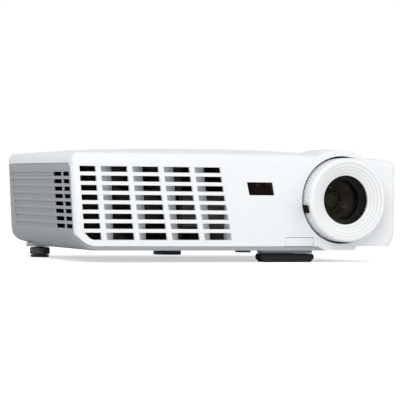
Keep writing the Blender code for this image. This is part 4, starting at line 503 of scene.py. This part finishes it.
WINDOW = window_finish()
CLEAR = glass_finish("coated_glass", (0.90, 0.94, 0.90), 0.28)
FRONT_GLASS = front_glass_finish()
QUARTZ = glass_finish("lamp_quartz", (0.96, 0.95, 0.92), 0.5, 0.04)
GREEN_COAT = coated_finish("green_coating", (0.12, 0.13, 0.07), (0.026, 0.030, 0.013))
BOARD = board_finish()
MIRROR = metal("reflector_coat", (0.80, 0.82, 0.86), (0.74, 0.77, 0.82), 0.05, 300, 0.000002)
WHEEL = wheel_finish(sum(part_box("colour_wheel"), Vector()) / 2)

FINISH_OF_SLOT = {
    "white_shell": WHITE,
    "grey_case": GREY,
    "grey_keys": KEY_GREY,
    "black_plastic": BLACK,
    "charcoal_plastic": CHARCOAL,
    "rubber": RUBBER,
    "window_tint": WINDOW,
    "lens_glass": CLEAR,
    "wheel_glass": WHEEL,
    "circuit_board": BOARD,
    "bright_steel": STEEL,
    "cast_aluminium": CASTING,
    "reflector_mirror": MIRROR,
    "lamp_quartz": QUARTZ,
}


# Finished copies of the moulded pieces, with rounded edges


def dressed(node, edge, finish=None):
    """A merged copy of a solid with its edges rounded, in the solid's place. The edge is in mm."""
    name = f"{node}_moulding"
    piece = bpy.data.objects.new(name, NODES[node].data.copy())
    bpy.context.scene.collection.objects.link(piece)
    edit(piece)
    bpy.ops.mesh.select_all(action="SELECT")
    bpy.ops.mesh.customdata_custom_splitnormals_clear()
    bpy.ops.mesh.remove_doubles(threshold=SOLID_MERGE)
    # The curved top keeps its facets, since merged ones crease round the keys
    if node != "top_cover":
        bpy.ops.mesh.dissolve_limited(angle_limit=FLAT_ANGLE, use_dissolve_boundaries=False)
    leave()
    soften(piece, edge * MM)
    slot = SLOT_OF[node]
    hand_over(piece, name, BODY_OF[node], slot, finish or FINISH_OF_SLOT[slot], node)


# Rounding of each copied solid's edges, in mm
DRESSED_EDGES = {
    "top_cover": 0.30,
    "bottom_case": 0.30,
    "exhaust_vanes": 0.25,
    "lamp_door": 0.40,
    "lamp_door_screw": 0.12,
    "tilt_foot": 0.90,
    "foot_guide": 0.30,
    "foot_button": 0.25,
    "rear_foot_pad": 1.00,
    "rear_foot_knob": 1.40,
    "right_rear_foot_pad": 1.00,
    "right_rear_foot_knob": 1.40,
    "zoom_ring": 0.20,
    "ir_window": 0.15,
    "enter_key": 0.30,
    "left_key": 0.30,
    "right_key": 0.30,
    "up_key": 0.30,
    "down_key": 0.30,
    "menu_key": 0.30,
    "source_key": 0.30,
    "power_key": 0.30,
    "status_light": 0.20,
    "terminal_panel": 0.30,
    "serial_port": 0.15,
    "vga_socket": 0.15,
    "hdmi_socket": 0.12,
    "usb_socket": 0.15,
    "s_video_socket": 0.20,
    "video_jack": 0.20,
    "audio_in_jack": 0.15,
    "audio_out_jack": 0.15,
    "mains_inlet": 0.30,
    "exhaust_fan_frame": 0.40,
    "exhaust_fan_rotor": 0.20,
}
# Pieces whose finish differs from their slot's
OWN_FINISH = {
    "status_light": STATUS_MILK,
    # The vanes take the white with painted shade in it
    "exhaust_vanes": VANE_PAINTED_SHADE_WHITE,
    "zoom_ring": MATT_BLACK,
    "rear_foot_knob": KNOB_GREY,
    "right_rear_foot_knob": KNOB_GREY,
}
for node, edge in DRESSED_EDGES.items():
    dressed(node, edge, OWN_FINISH.get(node))

for node, item in NODES.items():
    if not item.hide_render:
        for place in item.material_slots:
            place.material = FINISH_OF_SLOT[SLOT_OF[node]]


# Focus ring, lens cell and glass, in mm from the lens's middle line and the body's front

GROOVES = 108
# Each groove and the land beside it are two faces wide
FACES_PER_GROOVE = 4
GROOVED_FACES = 2
GROOVE_INSET = 0.16
GROOVE_DEPTH = 0.75
KNURL_RADIUS = 36.8
KNURL_FRONT = -10.7
KNURL_BACK = 9.5
# How far along Y a normal may lean on a face that is still grooved
KNURL_LEAN = 0.3
MOUTH_RADIUS = 21.8
CONE_STEPS = ((32.6, -13.75), (29.5, -12.55), (26.8, -11.35), (24.2, -10.05))
STEP_HALF_WIDTH = 0.27
STEP_HALF_FLOOR = 0.22
BAFFLE_STEPS = 6
BAFFLE_FALL = 0.80
BAFFLE_NARROWING = 0.62
BAFFLE_LIP = 0.08
BAFFLE_LIP_DEPTH = 0.62
LENS_STOPS = ((17.4, 6.7), (16.1, 8.1), (14.6, 9.7), (13.0, 11.4), (11.3, 13.4), (9.6, 15.6), (8.4, 17.7))
RING_SEGMENTS = 128
GLASS_SEGMENTS = 96
CAP_STEPS = 14
GLASS_RIM = 0.4
LENS_SHARP_ANGLE = math.radians(30)
KNURL_SHARP_ANGLE = math.radians(28)


def focus_ring():
    """White knurled ring, with its rolled rim and the stepped cone down to the glass."""
    points = arc((34.7, -11.5), 2.5, 0, -90, 8) + [(33.6, -14.0), (33.25, -13.9)]
    for radius, back in CONE_STEPS:
        points += [(radius + STEP_HALF_WIDTH, back), (radius + STEP_HALF_FLOOR, back + 0.85)]
        points += [(radius - STEP_HALF_FLOOR, back + 0.90), (radius - STEP_HALF_WIDTH, back + 0.45)]
    points += arc((22.2, -7.7), 0.9, 270, 180, 4)[1:]
    points = [(max(wide, MOUTH_RADIUS), back) for wide, back in points]
    points += [(MOUTH_RADIUS, -6.3), (24.0, -5.42), (35.0, -9.6), (35.0, 6.7)]
    points += [(26.8, 6.7), (26.8, 10.0), (36.9, 10.0), (37.2, 9.7), (37.2, -10.8), points[0]]
    piece = drawn_ring(points, GROOVES * FACES_PER_GROOVE)
    edit(piece)

    def groove(middle, normal):
        out = Vector((middle.x - LENS.x, 0, middle.z - LENS.z))
        behind = middle.y - FRONT
        on_knurl = KNURL_FRONT * MM <= behind <= KNURL_BACK * MM
        if out.length < KNURL_RADIUS * MM or abs(normal.y) > KNURL_LEAN or not on_knurl:
            return False
        place = math.atan2(out.z, out.x) / (2 * math.pi) * GROOVES * FACES_PER_GROOVE
        return place % FACES_PER_GROOVE < GROOVED_FACES

    select_faces(piece, groove)
    bpy.ops.mesh.inset(
        thickness=GROOVE_INSET * MM, depth=-GROOVE_DEPTH * MM, use_boundary=True, use_even_offset=True
    )
    leave()
    pick(piece)
    bpy.ops.object.shade_smooth_by_angle(angle=KNURL_SHARP_ANGLE)
    hand_over(piece, "focus_ring_knurled", "focus_ring", "white_shell", RING_WHITE, "focus_ring")


def lens_cell():
    """Black cell with a stepped baffle in front of the glass."""
    points = [(23.2, -3.3), (23.0, -3.5), (21.7, -3.5)]
    wide, back = 21.7, -3.5
    for _ in range(BAFFLE_STEPS):
        points += [(wide - BAFFLE_LIP, back + BAFFLE_LIP_DEPTH)]
        points += [(wide - BAFFLE_NARROWING, back + BAFFLE_FALL)]
        wide, back = wide - BAFFLE_NARROWING, back + BAFFLE_FALL
    points += [(17.8, 1.4), (17.8, 2.0), (19.0, 2.0), (19.0, 30.0), (23.2, 30.0), (23.2, -3.3)]
    piece = drawn_ring(points, RING_SEGMENTS)
    bpy.ops.object.shade_smooth_by_angle(angle=LENS_SHARP_ANGLE)
    hand_over(piece, "lens_cell_baffle", "lens_cell", "black_plastic", LENS_BROWN, "lens_cell")


def lens_stops():
    """Nested stops behind the front glass, each a step narrower and deeper."""
    points = [(18.9, 6.6)]
    for radius, back in LENS_STOPS:
        points += [(radius + 0.3, back), (radius, back + 0.25), (radius - 0.05, back + 1.3)]
    points += [(8.4, 19.4), (18.9, 19.4), (18.9, 6.6)]
    piece = drawn_ring(points, RING_SEGMENTS)
    bpy.ops.object.shade_smooth_by_angle(angle=LENS_SHARP_ANGLE)
    hand_over(piece, "lens_stop_steps", "lens_cell", "black_plastic", LENS_RED)


def glass(name, radius, front, rise, edge, finish, *nodes):
    """A lens with a curved face, a flat rim round it and a flat back."""
    points = [(radius, front + edge), (radius, front)]
    points += cap(radius - GLASS_RIM, front, rise, CAP_STEPS)
    points += [(AXIS_RADIUS, front + edge), (radius, front + edge)]
    piece = drawn_ring(points, GLASS_SEGMENTS)
    bpy.ops.object.shade_smooth_by_angle(angle=LENS_SHARP_ANGLE)
    hand_over(piece, name, "lens_cell", "lens_glass", finish, *nodes)


focus_ring()
lens_cell()
lens_stops()
glass("front_lens_polished", 18.7, 2.3, 3.1, 3.1, FRONT_GLASS, "front_lens")
glass("second_element", 9.6, 18.4, 2.2, 0.8, GREEN_COAT)
dressed("lens_barrel", 0.2, LENS_BLACK)


# Contacts in the sockets at the back, and painted shade for each contact hole of the monitor socket, in
# metres

# Y from which the sockets are looked into, behind the whole body
BEHIND = 0.2
PIN_SIDES = 16
PIN_RADIUS = 0.0005
PIN_REACH = 0.0036
PIN_ROOT = 0.0005
PIN_PITCH = 0.00275
PIN_ROWS = ((5, 0.0014), (4, -0.0014))
PIN_ROUNDING = 0.4
# Each contact hole of the monitor socket is a matt black disc of this size standing out of the seat:
# painted shade
HOLE_RADIUS = 0.00055
HOLE_ROOT = 0.0004
HOLE_REACH = 0.0001
HOLE_PITCH = 0.0023
HOLES_IN_ROW = 5
# Height of each row over the middle, and how far it stands aside
HOLE_ROWS = ((0.002, 0), (0, 0.0006), (-0.002, 0))
TONGUE_EDGE = 0.0001
TONGUE_ROOT = 0.0003
TONGUE_SHORTFALL = 0.0009
# Half of a tongue's width and height, as shares of its socket's
TONGUE_SHARES = (("hdmi_socket", 0.30, 0.10), ("usb_socket", 0.22, 0.20))


def depth_at(node, x, z):
    """Distance along Y of the first face that a look from behind meets."""
    solid = NODES[node].data
    points = [point.co for point in solid.vertices]
    faces = BVHTree.FromPolygons(points, [face.vertices for face in solid.polygons])
    return faces.ray_cast(Vector((x, BEHIND, z)), -BACKWARD)[0].y


def mouth_of(node):
    """Middle of a socket seen from behind, with its seat's depth and its two corners."""
    low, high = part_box(node)
    x, z = (low.x + high.x) / 2, (low.z + high.z) / 2
    return x, z, depth_at(node, x, z), low, high


def pin(radius, low, high, x, z):
    bpy.ops.mesh.primitive_cylinder_add(
        vertices=PIN_SIDES,
        radius=radius,
        depth=high - low,
        location=(x, (low + high) / 2, z),
        rotation=LYING_ALONG_Y,
    )
    piece = bpy.context.object
    settle(piece)
    soften(piece, radius * PIN_ROUNDING)
    return piece


def tongue(low, high):
    piece = block(low, high)
    soften(piece, TONGUE_EDGE)
    return piece


def contacts():
    """Pins of the serial port, matt black discs painted as the shade in each contact hole of the monitor
    socket, and the tongues of the digital ones.
    """
    x, z, seat, _, _ = mouth_of("serial_port")
    pins = []
    for count, rise in PIN_ROWS:
        for index in range(count):
            along = x + (index - (count - 1) / 2) * PIN_PITCH
            pins.append(pin(PIN_RADIUS, seat - PIN_ROOT, seat + PIN_REACH, along, z + rise))
    hand_over(joined(pins), "serial_pins", BODY_OF["serial_port"], "bright_steel", GOLD)
    x, z, seat, _, _ = mouth_of("vga_socket")
    # Matt black discs in the monitor socket: painted shade where each contact hole is, not cut holes
    painted_hole_shades = []
    for rise, aside in HOLE_ROWS:
        for index in range(HOLES_IN_ROW):
            along = x + (index - (HOLES_IN_ROW - 1) / 2) * HOLE_PITCH + aside
            painted_hole_shades.append(pin(HOLE_RADIUS, seat - HOLE_ROOT, seat + HOLE_REACH, along, z + rise))
    hand_over(joined(painted_hole_shades), "monitor_socket_hole_shade", BODY_OF["vga_socket"], "black_plastic", MATT_BLACK)
    for node, share_x, share_z in TONGUE_SHARES:
        x, z, seat, low, high = mouth_of(node)
        half_x, half_z = (high.x - low.x) * share_x, (high.z - low.z) * share_z
        first = (x - half_x, seat - TONGUE_ROOT, z - half_z)
        second = (x + half_x, high.y - TONGUE_SHORTFALL, z + half_z)
        hand_over(tongue(first, second), f"{node}_tongue", BODY_OF[node], "black_plastic", MATT_BLACK)


contacts()


# Floor, light and camera

FLOOR_SIZE = 8
FLOOR_PLACE = (0, 1.2, 0)
FLOOR_GLOW = 0.55
SKY_LEVEL = 0.68
SKY_SEEN_EXTRA = 0.35
CAMERA_PLACE = (-0.9966, -2.3204, 0.0676)
FOCAL_LENGTH = 248.85
SENSOR_WIDTH = 36


def floor():
    """Plain pale floor that keeps a shadow and looks white to the camera."""
    bpy.ops.mesh.primitive_plane_add(size=FLOOR_SIZE, location=FLOOR_PLACE)
    piece = bpy.context.object
    piece.name = "studio_floor"
    finish, tree, shader = principled("studio_floor", Roughness=0.9, Specular_IOR_Level=0.1)
    place = add(tree, "ShaderNodeTexCoord").outputs["Object"]
    ramp = add(tree, "ShaderNodeValToRGB")
    ramp.color_ramp.elements[0].color = (0.80, 0.80, 0.80, 1)
    ramp.color_ramp.elements[1].color = (0.82, 0.82, 0.82, 1)
    seen = add(tree, "ShaderNodeLightPath")
    glow = math_node(tree, "MULTIPLY", seen.outputs["Is Camera Ray"], FLOOR_GLOW)
    shader.inputs["Emission Color"].default_value = (1, 1, 1, 1)
    wire(tree, (noise(tree, place, 3), ramp.inputs["Fac"]))
    wire(tree, (ramp.outputs["Color"], shader.inputs["Base Color"]))
    wire(tree, (glow, shader.inputs["Emission Strength"]))
    piece.data.materials.append(finish)


def world():
    """Even studio surround: plain light on the object, white to the camera and through glass."""
    sky = bpy.data.worlds.new("studio")
    bpy.context.scene.world = sky
    sky.use_nodes = True
    tree = sky.node_tree
    shine = tree.nodes["Background"]
    shine.inputs["Color"].default_value = (0.97, 0.985, 1.0, 1)
    paths = add(tree, "ShaderNodeLightPath")
    seen = math_node(tree, "MAXIMUM", paths.outputs["Is Camera Ray"], paths.outputs["Is Transmission Ray"])
    level = math_node(tree, "ADD", math_node(tree, "MULTIPLY", seen, SKY_SEEN_EXTRA), SKY_LEVEL)
    wire(tree, (level, shine.inputs["Strength"]))


def lamp(name, place, aim, size, power, tint=(1, 1, 1)):
    """A rectangular soft light turned to what it aims at."""
    bpy.ops.object.light_add(type="AREA", location=place)
    item = bpy.context.object
    item.name = name
    item.data.shape = "RECTANGLE"
    item.data.size, item.data.size_y = size
    item.data.energy = power
    item.data.color = tint
    item.rotation_euler = (Vector(aim) - Vector(place)).to_track_quat("-Z", "Y").to_euler()


def camera():
    """The camera fitted to the object's outline, by its right, up and forward directions."""
    right = Vector((0.91676, -0.39932, 0.01012))
    up = Vector((-0.00712, 0.00900, 0.99993))
    ahead = Vector((0.39938, 0.91677, -0.00541))
    bpy.ops.object.camera_add()
    item = bpy.context.object
    turn = Matrix((right, up, -ahead)).transposed().to_4x4()
    item.matrix_world = Matrix.Translation(CAMERA_PLACE) @ turn
    item.data.sensor_width = SENSOR_WIDTH
    item.data.lens = FOCAL_LENGTH
    item.data.clip_end = 20
    bpy.context.scene.camera = item


floor()
world()
lamp("front_soft_box", (-1.0, -1.5, 1.0), (0, -0.05, 0.05), size=(1.0, 0.8), power=14)
lamp("lens_side_soft_box", (1.3, -1.1, 0.9), (0.05, -0.05, 0.05), size=(0.8, 0.8), power=4)
lamp("top_soft_box", (-0.2, 0.3, 1.5), (0, 0, 0.05), size=(1.4, 1.2), power=1.5)
lamp("glint_box", (0.57, -1.51, 0.36), LENS, size=(0.07, 0.06), power=0.32, tint=(1.0, 0.95, 0.72))
lamp("small_glint_box", (0.25, -1.49, 0.64), LENS, size=(0.05, 0.04), power=0.12, tint=(1.0, 0.90, 0.75))
camera()

scene = bpy.context.scene
scene.view_settings.view_transform = "Standard"
bpy.ops.object.select_all(action="DESELECT")
